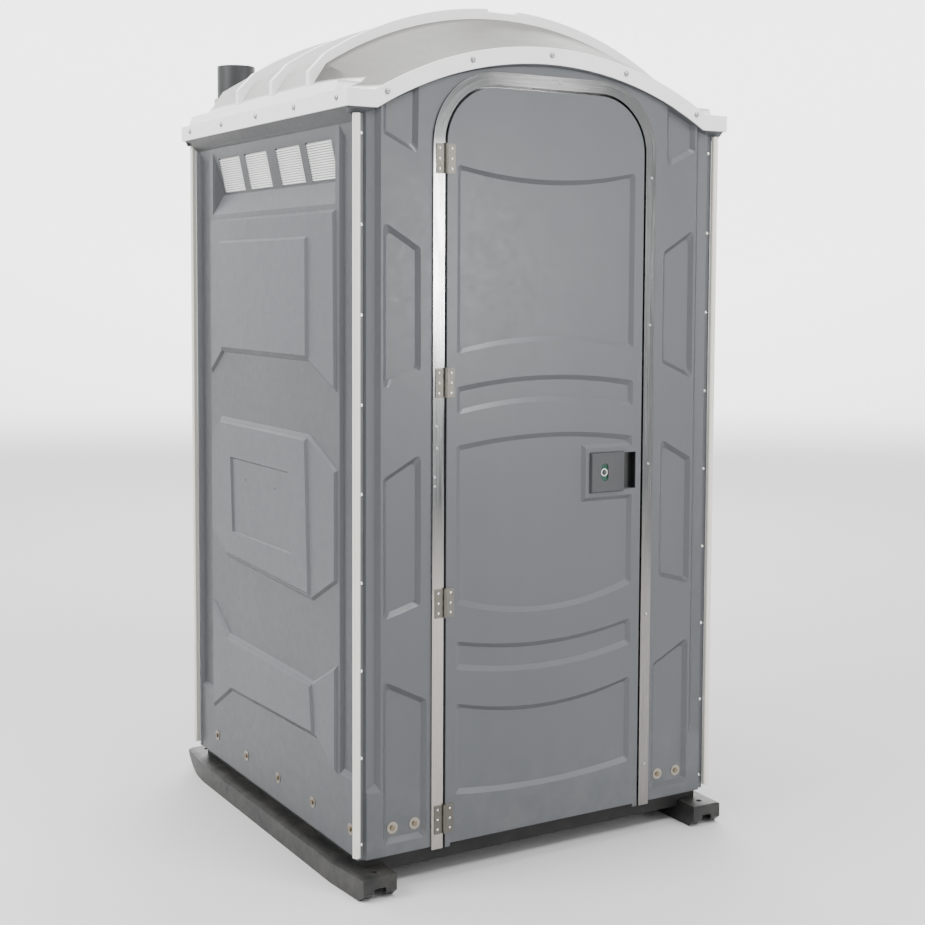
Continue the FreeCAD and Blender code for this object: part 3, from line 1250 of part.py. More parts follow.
def door_fittings():
    back, x, half = -door_back_plane, S.door_pull_x, S.door_pull_length / 2
    stand, radius = S.door_pull_stand, S.door_pull_bar
    parts = [rod("pull_bar", (x, back + stand, S.door_pull_z - half - S.door_pull_post), "+Z", radius,
                 S.door_pull_length + S.door_pull_post * 2)]
    for name, z in (("low", S.door_pull_z - half), ("high", S.door_pull_z + half)):
        parts.append(rod("pull_post_" + name, (x, back, z), "+Y", S.door_pull_post, stand))
        parts.append(rod("pull_foot_" + name, (x, back, z), "+Y", S.door_pull_foot, S.fitting_plate))
    piece("door_pull", fuse("door_pull_shape", parts))
    z, reach = S.coat_hook_z, S.coat_hook_reach
    piece("coat_hook", fuse("coat_hook_shape", [
        box("hook_plate", (S.coat_hook_width * -0.5, back, z - S.coat_hook_height / 2),
            (S.coat_hook_width, S.fitting_plate, S.coat_hook_height)),
        rod("hook_arm", (0, back + 1, z), "+Y", S.coat_hook_arm, reach - 2),
        rod("hook_end", (0, back + reach - S.coat_hook_arm, z), "+Y", S.coat_hook_end, S.coat_hook_arm)]))


OUTWARD = {"-X": (-1, 0), "+X": (1, 0), "-Y": (0, -1), "+Y": (0, 1)}
INWARD = {"-X": "+X", "+X": "-X", "-Y": "+Y", "+Y": "-Y"}


def base_fasteners():
    ground, z = S.wall_half_width - S.field_depth, S.base_bolt_z
    spots = [(x, y, out) for y in side_bolts() for x, out in ((-ground, "-X"), (ground, "+X"))]
    spots += [(x, y, out) for x in front_bolts() for y, out in ((-flange_plane, "-Y"), (flange_plane, "+Y"))]
    bolts, washers = [], []
    for number, (x, y, out) in enumerate(spots):
        bolt, washer = "bolt_%d" % number, "washer_%d" % number
        step_x, step_y = OUTWARD[out]
        disc = rod(washer + "_disc", (x, y, z), out, S.washer_radius, S.washer_thickness)
        hole = rod(washer + "_hole", (x - step_x, y - step_y, z), out, S.bolt_radius + S.bolt_clearance, 6)
        washers.append(cut(washer, disc, hole))
        seat_x, seat_y = S.washer_thickness * step_x + x, S.washer_thickness * step_y + y
        head = rod(bolt + "_head", (seat_x, seat_y, z), out, S.bolt_head_radius, S.bolt_head_height)
        root = (seat_x + step_x, seat_y + step_y, z)
        shank = rod(bolt + "_shank", root, INWARD[out], S.bolt_radius, S.bolt_length)
        bolts.append(fuse(bolt, [head, shank]))
    piece("base_washers", group("base_washers_shape", washers))
    piece("base_bolts", group("base_bolts_shape", bolts))


def wall_rivets():
    heads, flange = [], []
    radius, height = S.roof_rivet_radius, S.roof_rivet_height
    for index in range(5):
        y, z = S.rim_rivet_first + S.rim_rivet_pitch * index, S.rim_bottom + S.rim_rivet_rise
        for out in ("-X", "+X"):
            name = "rim_rivet_%d_%s" % (index, "left" if out == "-X" else "right")
            heads.append(rivet(name, S.rim_half_width * OUTWARD[out][0], y, z, out, radius, height))
        x, z = ARCH_RIVETS[index]
        for out in ("-Y", "+Y"):
            name = "arch_rivet_%d_%s" % (index, "front" if out == "-Y" else "back")
            heads.append(rivet(name, x, S.rim_half_depth * OUTWARD[out][1], z, out, radius, height))
    for index in range(9):
        z = S.flange_rivet_first + S.flange_rivet_pitch * index
        for side, x in (("left", -S.flange_rivet_x), ("right", S.flange_rivet_x)):
            for out in ("-Y", "+Y"):
                name = "flange_rivet_%d_%s_%s" % (index, side, "front" if out == "-Y" else "back")
                flange.append(rivet(name, x, flange_plane * OUTWARD[out][1], z, out))
    frame = []
    for index, (x, z) in enumerate(FRAME_RIVETS):
        frame.append(rivet("frame_rivet_%d" % index, x, -frame_plane, z, "-Y"))
    for name, shapes in (("roof_rivets", heads), ("flange_rivets", flange), ("frame_rivets", frame)):
        piece(name, group(name + "_shape", shapes))


# Rivets measured one by one (X, Z): over the door, and on the door frame.
ARCH_RIVETS = [(-489, 2031), (-243, 2127), (0, 2157), (243, 2127), (489, 2031)]
FRAME_RIVETS = [(31, 2089), (339, 1849), (339, 1443), (339, 1055), (339, 629), (339, 198), (-344, 1191),
                (-342, 1134), (-348, 1059), (-348, 1036)]


def waste_tank():
    front, top, low, back = size("tank_front"), size("tank_top"), size("floor_top"), size("tank_back")
    half, wall, bevel = size("tank_half_width"), size("tank_wall"), size("tank_chamfer")
    profile = [(front + size("tank_slope"), low), (front, low + size("tank_kick")), (front, top - bevel),
               (front + bevel, top), (back, top), (back, low)]
    outside = prism(profile, -half, half, section)
    inside = prism(drawn_in(profile, wall), wall - half, half - wall, section)
    start = top - PAST
    holes = [oval(size("tank_hole_length"), size("tank_hole_width"), start, top + PAST),
             Part.makeCylinder(size("pipe_radius") - size("tank_socket_inset"), 2 * PAST,
                               Vector(-size("pipe_x"), size("pipe_y"), start)),
             Part.makeCylinder(size("drain_radius") - size("drain_wall"), 2 * PAST,
                               Vector(size("drain_x"), size("drain_end_y"), start))]
    piece("waste_tank", formed("waste_tank_shape", outside.cut(inside).cut(holes)))


def oval(length, width, low, high):
    """An upright oval body in the middle of the seat."""
    face = Part.Face(Part.Wire(Part.Ellipse(Vector(0, 0, low), length / 2, width / 2).toShape()))
    solid = face.extrude(Vector(0, 0, high - low))
    solid.rotate(Vector(), Vector(0, 0, 1), 90)
    solid.translate(Vector(0, size("seat_y"), 0))
    return solid


def pin_rod(radius, start, length):
    """A cylinder round the seat's hinge line, from start along +X."""
    y, z = size("seat_hinge_y"), size("tank_top") + size("seat_hinge_rise")
    return Part.makeCylinder(radius, length, Vector(start, y, z), Vector(1, 0, 0))


def toilet_seat():
    top, gap, y = size("tank_top"), size("seat_gap"), size("seat_hinge_y")
    low, high = top + gap, top + gap + size("seat_thickness")
    length, width, ring = size("seat_length"), size("seat_width"), size("seat_ring_width")
    wide, knuckle = size("seat_knuckle_width"), size("seat_knuckle")
    body = oval(length, width, low, high).cut(oval(length - 2 * ring, width - 2 * ring, low - 1, high + 1))
    parts = [Part.makeCylinder(size("seat_buffer"), gap, Vector(x, size("seat_y") + step, top))
             for x in (-size("seat_buffer_x"), size("seat_buffer_x"))
             for step in (-size("seat_buffer_y"), size("seat_buffer_y"))]
    for x in (-size("seat_knuckle_reach"), size("seat_knuckle_reach") - wide):
        parts += [pin_rod(knuckle, x, wide), Part.makeBox(wide, y - 360, 14, Vector(x, 360, low + 2))]
    reach = size("seat_post_reach")
    bore = pin_rod(size("seat_pin_radius") + size("seat_running"), -reach, 2 * reach)
    piece("toilet_seat", formed("toilet_seat_shape", body.fuse(parts).cut(bore)))


def seat_lid():
    """The lid is drawn closed and then leaned back about the hinge line."""
    y, z = size("seat_hinge_y"), size("tank_top") + size("seat_hinge_rise")
    low = size("tank_top") + size("seat_gap") + size("seat_thickness") + 1
    high, edge = low + size("lid_thickness"), 2 * size("lid_edge")
    length, width, wide = size("seat_length"), size("seat_width"), size("seat_knuckle_width")
    lid = oval(length, width, low, high)
    lid = lid.cut(oval(length - edge, width - edge, low - 1, high - size("lid_skin")))
    ears = []
    for x in (-size("lid_knuckle_reach"), size("lid_knuckle_reach") - wide):
        ears += [pin_rod(size("seat_knuckle"), x, wide),
                 Part.makeBox(wide, 12, low + 10 - z, Vector(x, y - 3, z)),
                 Part.makeBox(wide, 50, 7, Vector(x, y - 41, high - 10))]
    reach = size("seat_post_reach")
    bore = pin_rod(size("seat_pin_radius") + size("seat_running"), -reach, 2 * reach)
    open_lid = formed("seat_lid_shape", lid.fuse(ears).cut(bore))
    turn = FreeCAD.Rotation(Vector(-1, 0, 0), size("lid_open_angle"))
    open_lid.Placement = FreeCAD.Placement(Vector(), turn, Vector(0, y, z))
    piece("seat_lid", open_lid)


def seat_hinge():
    """Two posts on the tank and the pin that the seat and the lid share."""
    y, top = size("seat_hinge_y"), size("tank_top")
    reach, width, deep = size("seat_post_reach"), size("seat_post_width"), size("seat_post_depth")
    posts = [Part.makeBox(width, deep, size("seat_post_height"), Vector(x, y - deep / 2, top))
             for x in (-reach, reach - width)]
    pin = pin_rod(size("seat_pin_radius"), 4 - reach, 2 * reach - 8)
    piece("seat_hinge", formed("seat_hinge_shape", posts[0].fuse([posts[1], pin])))


def urinal_side(u, v, depth):
    """u is the distance from the right wall's inner face, v is Z and the depth runs along +Y."""
    inner = size("wall_half_width") - size("field_depth") - size("wall_sheet")
    return Vector(inner - u, size("urinal_y") + depth, v)


def urinal():
    low, high = size("urinal_bottom"), size("urinal_bottom") + size("urinal_height")
    deep, wall, half = size("urinal_depth"), size("urinal_wall"), size("urinal_width") / 2
    outer = [(0, low), (80, low), (150, low + 60), (deep, low + 160), (deep, low + 200), (25, high),
             (0, high)]
    inner = [(wall, low + wall), (78, low + wall), (146, low + 63), (deep - wall, low + 162),
             (deep - wall, low + 240), (28, high + 40), (wall, high + 40)]
    bowl = prism(outer, -half, half, urinal_side).cut(prism(inner, wall - half, half - wall, urinal_side))
    mouth = Vector(size("drain_x"), size("urinal_y"), low - PAST)
    drain = Part.makeCylinder(size("drain_radius") - size("drain_wall"), 2 * PAST, mouth)
    piece("urinal", formed("urinal_shape", bowl.cut(drain)))


def urinal_drain():
    """The pipe from the urinal down, back along the wall and down into the tank."""
    x, y, end = size("drain_x"), size("urinal_y"), size("drain_end_y")
    low, tank = size("urinal_bottom"), size("tank_top")
    turn, drop = size("drain_bend"), size("drain_end_bend")
    level, part = tank + drop, 1 - math.sqrt(0.5)
    path = Part.Wire([
        Part.makeLine(Vector(x, y, low), Vector(x, y, level + turn)),
        Part.Arc(Vector(x, y, level + turn), Vector(x, y + turn * part, level + turn * part),
                 Vector(x, y + turn, level)).toShape(),
        Part.makeLine(Vector(x, y + turn, level), Vector(x, end - drop, level)),
        Part.Arc(Vector(x, end - drop, level), Vector(x, end - drop * part, level - drop * part),
                 Vector(x, end, tank)).toShape()])
    tubes = []
    for radius in (size("drain_radius"), size("drain_radius") - size("drain_wall")):
        rim = Part.Wire(Part.Circle(Vector(x, y, low), Vector(0, 0, -1), radius).toShape())
        tubes.append(path.makePipeShell([rim], True, False))
    piece("urinal_drain", formed("urinal_drain_shape", tubes[0].cut(tubes[1])))


def paper_holder():
    wall = -S.wall_half_width + S.wall_sheet
    length, reach, z, thick = S.holder_length, S.holder_reach, S.holder_z, S.holder_cheek
    front, low = S.holder_y - length / 2, z - S.holder_cheek_height / 2
    bar_x = wall + reach - S.holder_cheek_height / 2
    cheek = (reach, thick, S.holder_cheek_height)
    parts = [box("holder_back", (wall, front, low), (S.holder_plate, length, S.holder_plate_height)),
             box("holder_cheek_front", (wall, front, low), cheek),
             box("holder_cheek_back", (wall, front + length - thick, low), cheek)]
    loose = S.roll_bar_radius + S.roll_bar_running
    bore = rod("holder_bore", (bar_x, front - 1, z), "+Y", loose, length + 2)
    piece("paper_holder", cut("paper_holder_shape", fuse("holder_solid", parts), bore))
    bar = rod("roll_bar_rod", (bar_x, front - 2, z), "+Y", S.roll_bar_radius, length + 6)
    head = rod("roll_bar_end", (bar_x, front - 8, z), "+Y", S.roll_bar_radius + S.roll_bar_head, 8)
    piece("roll_bar", fuse("roll_bar_shape", [bar, head]))


# Planes that several pieces share.
flange_plane = S.wall_half_depth - S.corner_flange_depth
frame_plane = S.wall_half_depth + S.frame_face
opening_half_width = S.frame_half_width - S.frame_bar
door_back_plane = frame_plane - S.door_thickness
lip_back = door_back_plane - S.door_stop_gap - S.frame_web

side_walls()
end_walls()
base_floor()
corner_strips()
vent_screens()
door_frame()
roof()
vent_pipe()
door_shells()
hinges()
latch_plate()
latch()
door_fittings()
base_fasteners()
wall_rivets()
waste_tank()
toilet_seat()
seat_lid()
seat_hinge()
urinal()
urinal_drain()
paper_holder()

doc.recompute()
for item in doc.Objects:
    if "Invalid" in item.State or "Error" in item.State:
        raise RuntimeError("%s did not build: %s" % (item.Name, item.State))
for item in pieces:
    if item.Shape.isNull() or not item.Shape.isValid() or not item.Shape.Solids:
        raise RuntimeError("%s has no valid shape" % item.Label)
os.makedirs("parts", exist_ok=True)
for item in pieces:
    item.Shape.exportStep("parts/%s.step" % item.Label)
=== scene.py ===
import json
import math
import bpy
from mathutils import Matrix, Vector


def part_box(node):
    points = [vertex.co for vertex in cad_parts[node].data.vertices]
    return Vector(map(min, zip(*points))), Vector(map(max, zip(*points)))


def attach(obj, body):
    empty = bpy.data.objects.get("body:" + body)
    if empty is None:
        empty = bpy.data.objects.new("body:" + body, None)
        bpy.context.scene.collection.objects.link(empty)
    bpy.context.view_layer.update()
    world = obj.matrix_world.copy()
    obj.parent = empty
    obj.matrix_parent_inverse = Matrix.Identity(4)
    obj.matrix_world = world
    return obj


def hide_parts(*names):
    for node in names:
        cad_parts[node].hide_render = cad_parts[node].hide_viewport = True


bl_info = {
    "name": "Portable toilet cabin",
    "version": (1, 0, 0),
    "blender": (4, 5, 0),
    "location": "3D View > Sidebar > Cabin",
    "description": "Dresses the packed cabin: moulded sheets, metal trim, rivets, latch, fittings, studio",
    "category": "Object",
}

import bmesh
import bpy
from mathutils import Matrix, Vector

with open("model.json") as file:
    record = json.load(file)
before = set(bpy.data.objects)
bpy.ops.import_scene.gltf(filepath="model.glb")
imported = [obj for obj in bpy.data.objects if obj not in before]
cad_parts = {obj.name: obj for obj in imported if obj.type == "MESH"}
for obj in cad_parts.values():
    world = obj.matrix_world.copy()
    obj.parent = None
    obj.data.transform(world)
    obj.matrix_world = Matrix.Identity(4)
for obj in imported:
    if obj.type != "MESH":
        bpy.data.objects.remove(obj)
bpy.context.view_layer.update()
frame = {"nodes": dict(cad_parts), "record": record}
BODY_OF = {node: body for body, nodes in frame["record"]["behaviour"]["bodies"].items() for node in nodes}

# Rounding: points closer than WELD are one, edges flatter than FLAT_ANGLE vanish. Angles in degrees.
WELD = 0.00001
FLAT_ANGLE = 0.6
FORMED_ANGLE = 17.0
FITTING_ANGLE = 40.0
SHARP_ANGLE = 50.0
NORMAL_WEIGHT = 60

# Where the outer faces of the walls and the pocket beside the latch lie in the model.
SIDE_FACE = 0.5715
END_FACE = 0.566
FINGER_PIT = (0.2755, 1.041)
FINGER_PIT_BACK = (-0.573, -0.563)

# The roof: its ribs, and the height from which its sheet is thin and partly painted as shade, at two
# distances from the middle.
RIB_FIRST = -0.332
RIB_PITCH = 0.239
RIB_WIDTH = 0.02
RIB_MARGIN = 0.0005
BAND_FADE = (0.001, 0.016)
DOME_DEPTHS = (0.5, 0.52)
DOME_STARTS = (2.063, 2.036)
DOME_FADE = 0.012

# The doorway frame's metal: a painted reflection of the warm floor on its lower part, and painted highlights
# on the upper left and at the crown.
FLOOR_REFLECTION_HEIGHTS = (0.7, 1.0)
FLOOR_REFLECTION_ACROSS = (0.1, -0.1)
FLOOR_REFLECTION_RIGHT_SHARE = 0.4
HIGHLIGHT_RISE = (1.3, 1.55)
HIGHLIGHT_FALL = (1.93, 1.84)
HIGHLIGHT_ACROSS = (-0.1, -0.2)
CROWN_HEIGHTS = (1.95, 2.0)
CROWN_ACROSS = (0.2, 0.05)
CROWN_SHARE = 0.55

# Colours and shares of a colour that the materials use.
FRAME_METAL = (0.118, 0.119, 0.121)
# The next two colours are painted on the doorway frame: a highlight on its upper left and crown, and a
# reflection of the warm floor on its lower part.
FRAME_PAINTED_HIGHLIGHT = (0.5, 0.498, 0.49, 1.0)
FRAME_FLOOR_REFLECTION = (0.36, 0.335, 0.31, 1.0)
DUST_COLOUR = (0.33, 0.3, 0.25, 1.0)
# PIT_SHADE is the share of the colour left by painted shade in the pocket beside the latch.
PIT_SHADE = 0.08
LATCH_SHADE = 0.45
PLASTIC_RELIEF = 0.0006
METAL_RELIEF = 0.0003
FRAME_RELIEF = 0.0002
EVEN = (1.0, 1.0, 1.0)

# The vent recess leans inward: its depth at the top, and how much deeper it gets further down.
VENT_TOP = 1.95
VENT_TOP_DEPTH = 0.013
VENT_SLOPE = 0.2121
WINDOW_MIDDLES = (-0.309, -0.111, 0.111, 0.309)
WINDOW_LOW = 1.827
WINDOW_HEIGHT = 0.097
WINDOW_TOP = 1.924

# The vent screens: rows of blades, and the plate with the windows, which is a few bars.
BLADE_ROWS = 15
BLADE_INWARD = 0.005
BLADE_LEAN = 0.64
PLATE_FACES = (0.0061, 0.009)
PLATE_LOW = 1.821
PLATE_HIGH = 1.94
PLATE_END = 0.4
PLATE_BARS = ((-0.4, -0.386), (-0.232, -0.188), (-0.034, 0.034), (0.188, 0.232), (0.386, 0.4))

# The corner strips: a bead that goes most of the way round, with one groove.
STRIP_CENTRE = (0.568, 0.5625)
STRIP_CORNER = (0.5617, 0.5562)
STRIP_RADIUS = 0.0099
STRIP_GROOVE = 0.0012
STRIP_START = -56.0
STRIP_SWEEP = 202.0
STRIP_STEPS = 32
STRIP_GROOVE_STEPS = (14, 15)
STRIP_SHARP_ANGLE = 35

# Rivets: the head that the dimple's size is for, and how much larger the heads in flanges and frame are.
RIVET_RADIUS = 0.0034
DIMPLE_DEPTH_SHARE = 0.35
LARGE_RIVETS = ("flange_rivets", "frame_rivets")
LARGE_WIDTH = 1.45
LARGE_HEIGHT = 1.3

# The camera, fitted to the photograph's edges.
CAMERA_PLACE = (-2.2457, -3.9117, 1.5636)
CAMERA_YAW = math.radians(30.649)
CAMERA_PITCH = math.radians(3.912)
CAMERA_ROLL = math.radians(0.261)
CAMERA_LENS = 58.604
CAMERA_SENSOR = 36.0
CAMERA_SHIFT = -0.085

# The studio: a flat floor that curves up to a wall, paper that glows behind the cabin, and soft boxes.
# The paper's cloud is its scale and its share of the tone, and its fades are distances in metres.
WHITE = (1.0, 1.0, 1.0, 1.0)
FLOOR_FLAT = (8.0, 14.0)
FLOOR_CURVE = 5.0
FLOOR_CURVE_STEPS = 10
FLOOR_TOP = 15.0
FLOOR_TURNS = 64
PAPER_NEAR = (0.5, 0.5, 0.5, 1.0)
PAPER_FAR = (0.93, 0.93, 0.93, 1.0)
PAPER_FADE = (2.0, 12.0)
PAPER_CLOUD = (0.8, 0.06)
PAPER_ROUGHNESS = 0.8
PAPER_GLOW = 2.2
PAPER_GLOW_WAY = (0.51, 0.86, 0.0)
PAPER_GLOW_FADE = (9.0, 17.0)
WORLD_STRENGTH = 1.15
# Name, place, aim, size and power of each soft box.
LIGHTS = [("bar_box", (2.25, -5.1, 1.65), (-0.2, -0.5, 1.5), (0.9, 1.2), 75.0),
          ("high_box", (0.9, -3.8, 5.6), (0.0, -0.2, 0.9), (2.4, 1.8), 315.0),
          ("left_box", (-4.6, 0.2, 4.6), (-0.3, 0.0, 0.8), (2.4, 2.0), 415.0),
          ("top_box", (0.0, 0.6, 6.0), (0.0, 0.0, 2.0), (3.0, 3.0), 340.0),
          ("back_box", (3.0, 5.0, 4.2), (0.0, 0.0, 1.2), (3.0, 3.0), 200.0)]


# Sizes and colours that a user may change.

def length(name, description, default):
    return bpy.props.FloatProperty(name=name, description=description, default=default, unit="LENGTH",
                                   precision=4)


def tint(name, description, default):
    return bpy.props.FloatVectorProperty(name=name, description=description, default=default,
                                         subtype="COLOR", size=3, min=0.0, max=1.0)


class CabinSizes(bpy.types.PropertyGroup):
    sheet_rounding: length("Sheet rounding", "Rounding of the moulded sheets' edges", 0.0025)
    roof_rounding: length("Roof rounding", "Rounding of the roof's edges and ribs", 0.004)
    trim_rounding: length("Trim rounding", "Rounding of the doorway frame, tray and bolts", 0.0008)
    small_rounding: length("Small rounding", "Rounding of hinges and small fittings", 0.0004)
    rivet_dimple: length("Rivet dimple", "Radius of the dimple in a blind rivet's head", 0.0014)


class CabinColours(bpy.types.PropertyGroup):
    wall: tint("Wall", "Grey of the walls and the door", (0.0645, 0.0685, 0.0755))
    roof: tint("Roof", "Off-white of the roof", (0.71, 0.71, 0.705))
    # The dome colour is partly the thin sheet's own warm grey and partly painted shade on the roof's front
    # end and between its ribs.
    dome: tint("Dome", "Warm grey where the roof is a thin sheet", (0.055, 0.052, 0.047))
    pipe: tint("Pipe", "Dark grey of the vent pipe", (0.016, 0.017, 0.018))
    trim: tint("Corner strips", "Cream of the corner strips", (0.62, 0.6, 0.54))
    runner: tint("Runners", "Dark grey of the runners", (0.012, 0.0127, 0.0127))
    tray: tint("Tray", "Black of the floor tray", (0.006, 0.006, 0.006))
    screen: tint("Vent screens", "White of the vent screens", (0.75, 0.75, 0.74))
    vacant: tint("Vacant", "Green of the indicator", (0.001, 0.042, 0.023))
    occupied: tint("Occupied", "Red of the indicator", (0.45, 0.012, 0.012))


# Shader helpers.

class Tree:
    """A node tree with short calls for adding and joining nodes."""

    def __init__(self, tree):
        self.tree = tree

    def add(self, kind, **values):
        node = self.tree.nodes.new(kind)
        for key, value in values.items():
            if key in node.inputs:
                self.set(node, key, value)
            else:
                setattr(node, key, value)
        return node

    def set(self, node, socket, value):
        target = node.inputs[socket]
        if isinstance(value, bpy.types.NodeSocket):
            self.tree.links.new(value, target)
        else:
            target.default_value = value

    def math(self, operation, *values):
        node = self.add("ShaderNodeMath", operation=operation)
        for index, value in enumerate(values):
            self.set(node, index, value)
        return node.outputs[0]

    def mix(self, factor, first, second):
        node = self.add("ShaderNodeMix", data_type="RGBA")
        for index, value in ((0, factor), (6, first), (7, second)):
            self.set(node, index, value)
        return node.outputs[2]

    def vector_math(self, operation, *values):
        node = self.add("ShaderNodeVectorMath", operation=operation)
        for index, value in enumerate(values):
            self.set(node, index, value)
        return node.outputs["Value"]

    def spread(self, value, low, high, new_low=0.0, new_high=1.0, **values):
        node = self.add("ShaderNodeMapRange", **values)
        for index, item in enumerate((value, low, high, new_low, new_high)):
            self.set(node, index, item)
        return node.outputs[0]

    def spot(self):
        """Where a point of the object lies."""
        return self.add("ShaderNodeTexCoord").outputs["Object"]

    def facing(self):
        """The way that a point of the surface faces."""
        return self.add("ShaderNodeNewGeometry").outputs["Normal"]

    def parts(self, vector):
        return self.add("ShaderNodeSeparateXYZ", Vector=vector).outputs

    def layer(self, tree):
        return self.add("ShaderNodeGroup", node_tree=tree).outputs

    def blend(self, first, share, second):
        """A share of the first value and the rest of the second."""
        rest = self.math("MULTIPLY", second, 1.0 - share)
        return self.math("ADD", self.math("MULTIPLY", first, share), rest)

    def noise(self, vector, scale, detail=3.0, roughness=0.5, stretch=None):
        if stretch:
            vector = self.add("ShaderNodeMapping", Vector=vector, Scale=stretch).outputs[0]
        node = self.add("ShaderNodeTexNoise", Vector=vector, Scale=scale, Detail=detail, Roughness=roughness)
        return node.outputs[0]


def group(name, inputs, outputs, build):
    """A shader node group with named inputs and their defaults, and named values as its outputs."""
    tree = bpy.data.node_groups.new(name, "ShaderNodeTree")
    for label, default in inputs.items():
        kind = "NodeSocketVector" if isinstance(default, tuple) else "NodeSocketFloat"
        socket = tree.interface.new_socket(name=label, in_out="INPUT", socket_type=kind)
        socket.default_value = default
    for label in outputs:
        tree.interface.new_socket(name=label, in_out="OUTPUT", socket_type="NodeSocketFloat")
    shader = Tree(tree)
    entry = shader.add("NodeGroupInput")
    end = shader.add("NodeGroupOutput")
    for label, value in build(shader, entry.outputs).items():
        shader.set(end, label, value)
    return tree


def moulded(shader, inputs):
    """Fine grain, cloudy tone and faint upright streaks, as rotationally moulded plastic has."""
    spot = shader.spot()
    fine = shader.noise(spot, inputs["Grain Scale"], detail=2.0)
    pebble = shader.noise(spot, shader.math("MULTIPLY", inputs["Grain Scale"], 0.23))
    cloud = shader.noise(spot, inputs["Cloud Scale"], detail=5.0)
    streak = shader.noise(spot, inputs["Streak Scale"], 4.0, 0.6, stretch=(1.0, 1.0, 0.06))
    scuff = shader.noise(spot, inputs["Scuff Scale"], 6.0, 0.7)
    return {"Height": shader.blend(fine, 0.45, pebble),
            "Tone": shader.spread(shader.blend(cloud, 0.6, streak), 0.38, 0.62),
            "Wear": shader.spread(shader.blend(cloud, 0.4, scuff), 0.35, 0.65)}


def settled(shader, inputs):
    """Dust on what faces up and splashes near the ground."""
    spot = shader.spot()
    flat = shader.spread(shader.parts(shader.facing())[2], 0.6, 1.0)
    low = shader.spread(shader.parts(spot)[2], 0.0, inputs["Splash Height"], 1.0, 0.0)
    patch = shader.spread(shader.noise(spot, inputs["Patch Scale"], 8.0, 0.65), 0.42, 0.7)
    both = shader.math("MAXIMUM", shader.math("MULTIPLY", flat, 0.5), shader.math("MULTIPLY", low, 0.9))
    return {"Mask": shader.math("MULTIPLY", both, patch)}


def brushed(shader, inputs):
    """Fine lines along one direction with slow changes of tone, as on rolled and brushed metal."""
    spot = shader.spot()
    drawn = shader.add("ShaderNodeMapping", Vector=spot, Scale=inputs["Stretch"]).outputs[0]
    lines = shader.noise(drawn, inputs["Line Scale"])
    slow = shader.noise(spot, inputs["Tone Scale"], detail=4.0)
    mottle = shader.noise(spot, inputs["Mottle Scale"], 5.0, 0.65)
    return {"Height": lines, "Tone": shader.spread(slow, 0.35, 0.65),
            "Wear": shader.spread(shader.blend(lines, 0.5, mottle), 0.35, 0.65)}


def rolled(shader, inputs):
    """Lines that follow the doorway's outline: up the sides, round the corners and over the top, with masks
    for a painted reflection of the floor low down and painted highlights on the upper left and at the crown.
    """
    spot = shader.spot()
    x, y, z = shader.parts(spot)
    off_centre = shader.math("ABSOLUTE", x)
    side = shader.math("MAXIMUM", shader.math("SUBTRACT", off_centre, inputs["Corner X"]), 0.0)
    top = shader.math("MAXIMUM", shader.math("SUBTRACT", z, inputs["Corner Z"]), 0.0)
    squares = shader.math("ADD", shader.math("MULTIPLY", side, side), shader.math("MULTIPLY", top, top))
    across = shader.math("SQRT", squares)
    along = shader.math("MULTIPLY", shader.math("ADD", x, z), 0.02)
    lines = shader.add("ShaderNodeCombineXYZ", X=across, Y=y, Z=along).outputs[0]
    fine = shader.noise(lines, inputs["Line Scale"], detail=4.0)
    slow = shader.noise(spot, inputs["Tone Scale"], stretch=(1.0, 1.0, 0.9))
    smear = shader.noise(spot, inputs["Smear Scale"], 5.0, 0.6)
    # Painted reflection of the warm floor on the lower part, weaker on the right; painted highlights on the
    # upper left bar and at the crown.
    floor_reflection_side = shader.spread(x, *FLOOR_REFLECTION_ACROSS, FLOOR_REFLECTION_RIGHT_SHARE, 1.0)
    low = shader.math("MULTIPLY", shader.spread(z, *FLOOR_REFLECTION_HEIGHTS, 1.0, 0.0), floor_reflection_side)
    upper = shader.math("MULTIPLY", shader.spread(z, *HIGHLIGHT_RISE), shader.spread(z, *HIGHLIGHT_FALL))
    left = shader.math("MULTIPLY", shader.spread(x, *HIGHLIGHT_ACROSS), upper)
    crown = shader.math("MULTIPLY", shader.spread(off_centre, *CROWN_ACROSS),
                        shader.spread(z, *CROWN_HEIGHTS, 0.0, CROWN_SHARE))
    return {"Height": fine, "Tone": shader.spread(shader.blend(slow, 0.35, fine), 0.4, 0.6),
            "Wear": shader.spread(shader.blend(smear, 0.25, fine), 0.35, 0.65), "Painted Floor Reflection": low,
            "Painted Highlight": shader.math("MAXIMUM", left, crown)}


def thin_sheet_and_shade(shader, inputs):
    """Where the roof is a thin sheet: its front end, less so between the ribs and on its back end. Its
    colour there is partly the sheet's own warm grey and partly painted shade.
    """
    _, y, z = shader.parts(shader.spot())
    depth = shader.math("ABSOLUTE", y)
    first, pitch, width = inputs["First Rib"], inputs["Rib Pitch"], inputs["Rib Width"]
    within = shader.math("FLOORED_MODULO", shader.math("SUBTRACT", y, first), pitch)
    front = shader.math("LESS_THAN", y, shader.math("SUBTRACT", first, RIB_MARGIN))
    last = shader.math("ADD", first, shader.math("MULTIPLY", pitch, inputs["Rib Gaps"]))
    back = shader.math("MULTIPLY", shader.math("GREATER_THAN", y, last), inputs["Back Share"])
    fade = [shader.math("ADD", width, distance) for distance in BAND_FADE]
    band = shader.math("MULTIPLY", shader.spread(within, *fade), inputs["Band Share"])
    level = shader.math("MAXIMUM", shader.math("MAXIMUM", front, back), band)
    start = shader.spread(depth, *DOME_DEPTHS, *DOME_STARTS)
    high = shader.spread(shader.math("SUBTRACT", z, start), 0.0, DOME_FADE)
    inner = shader.math("LESS_THAN", depth, inputs["Inner Depth"])
    return {"Mask": shader.math("MULTIPLY", shader.math("MULTIPLY", level, high), inner)}


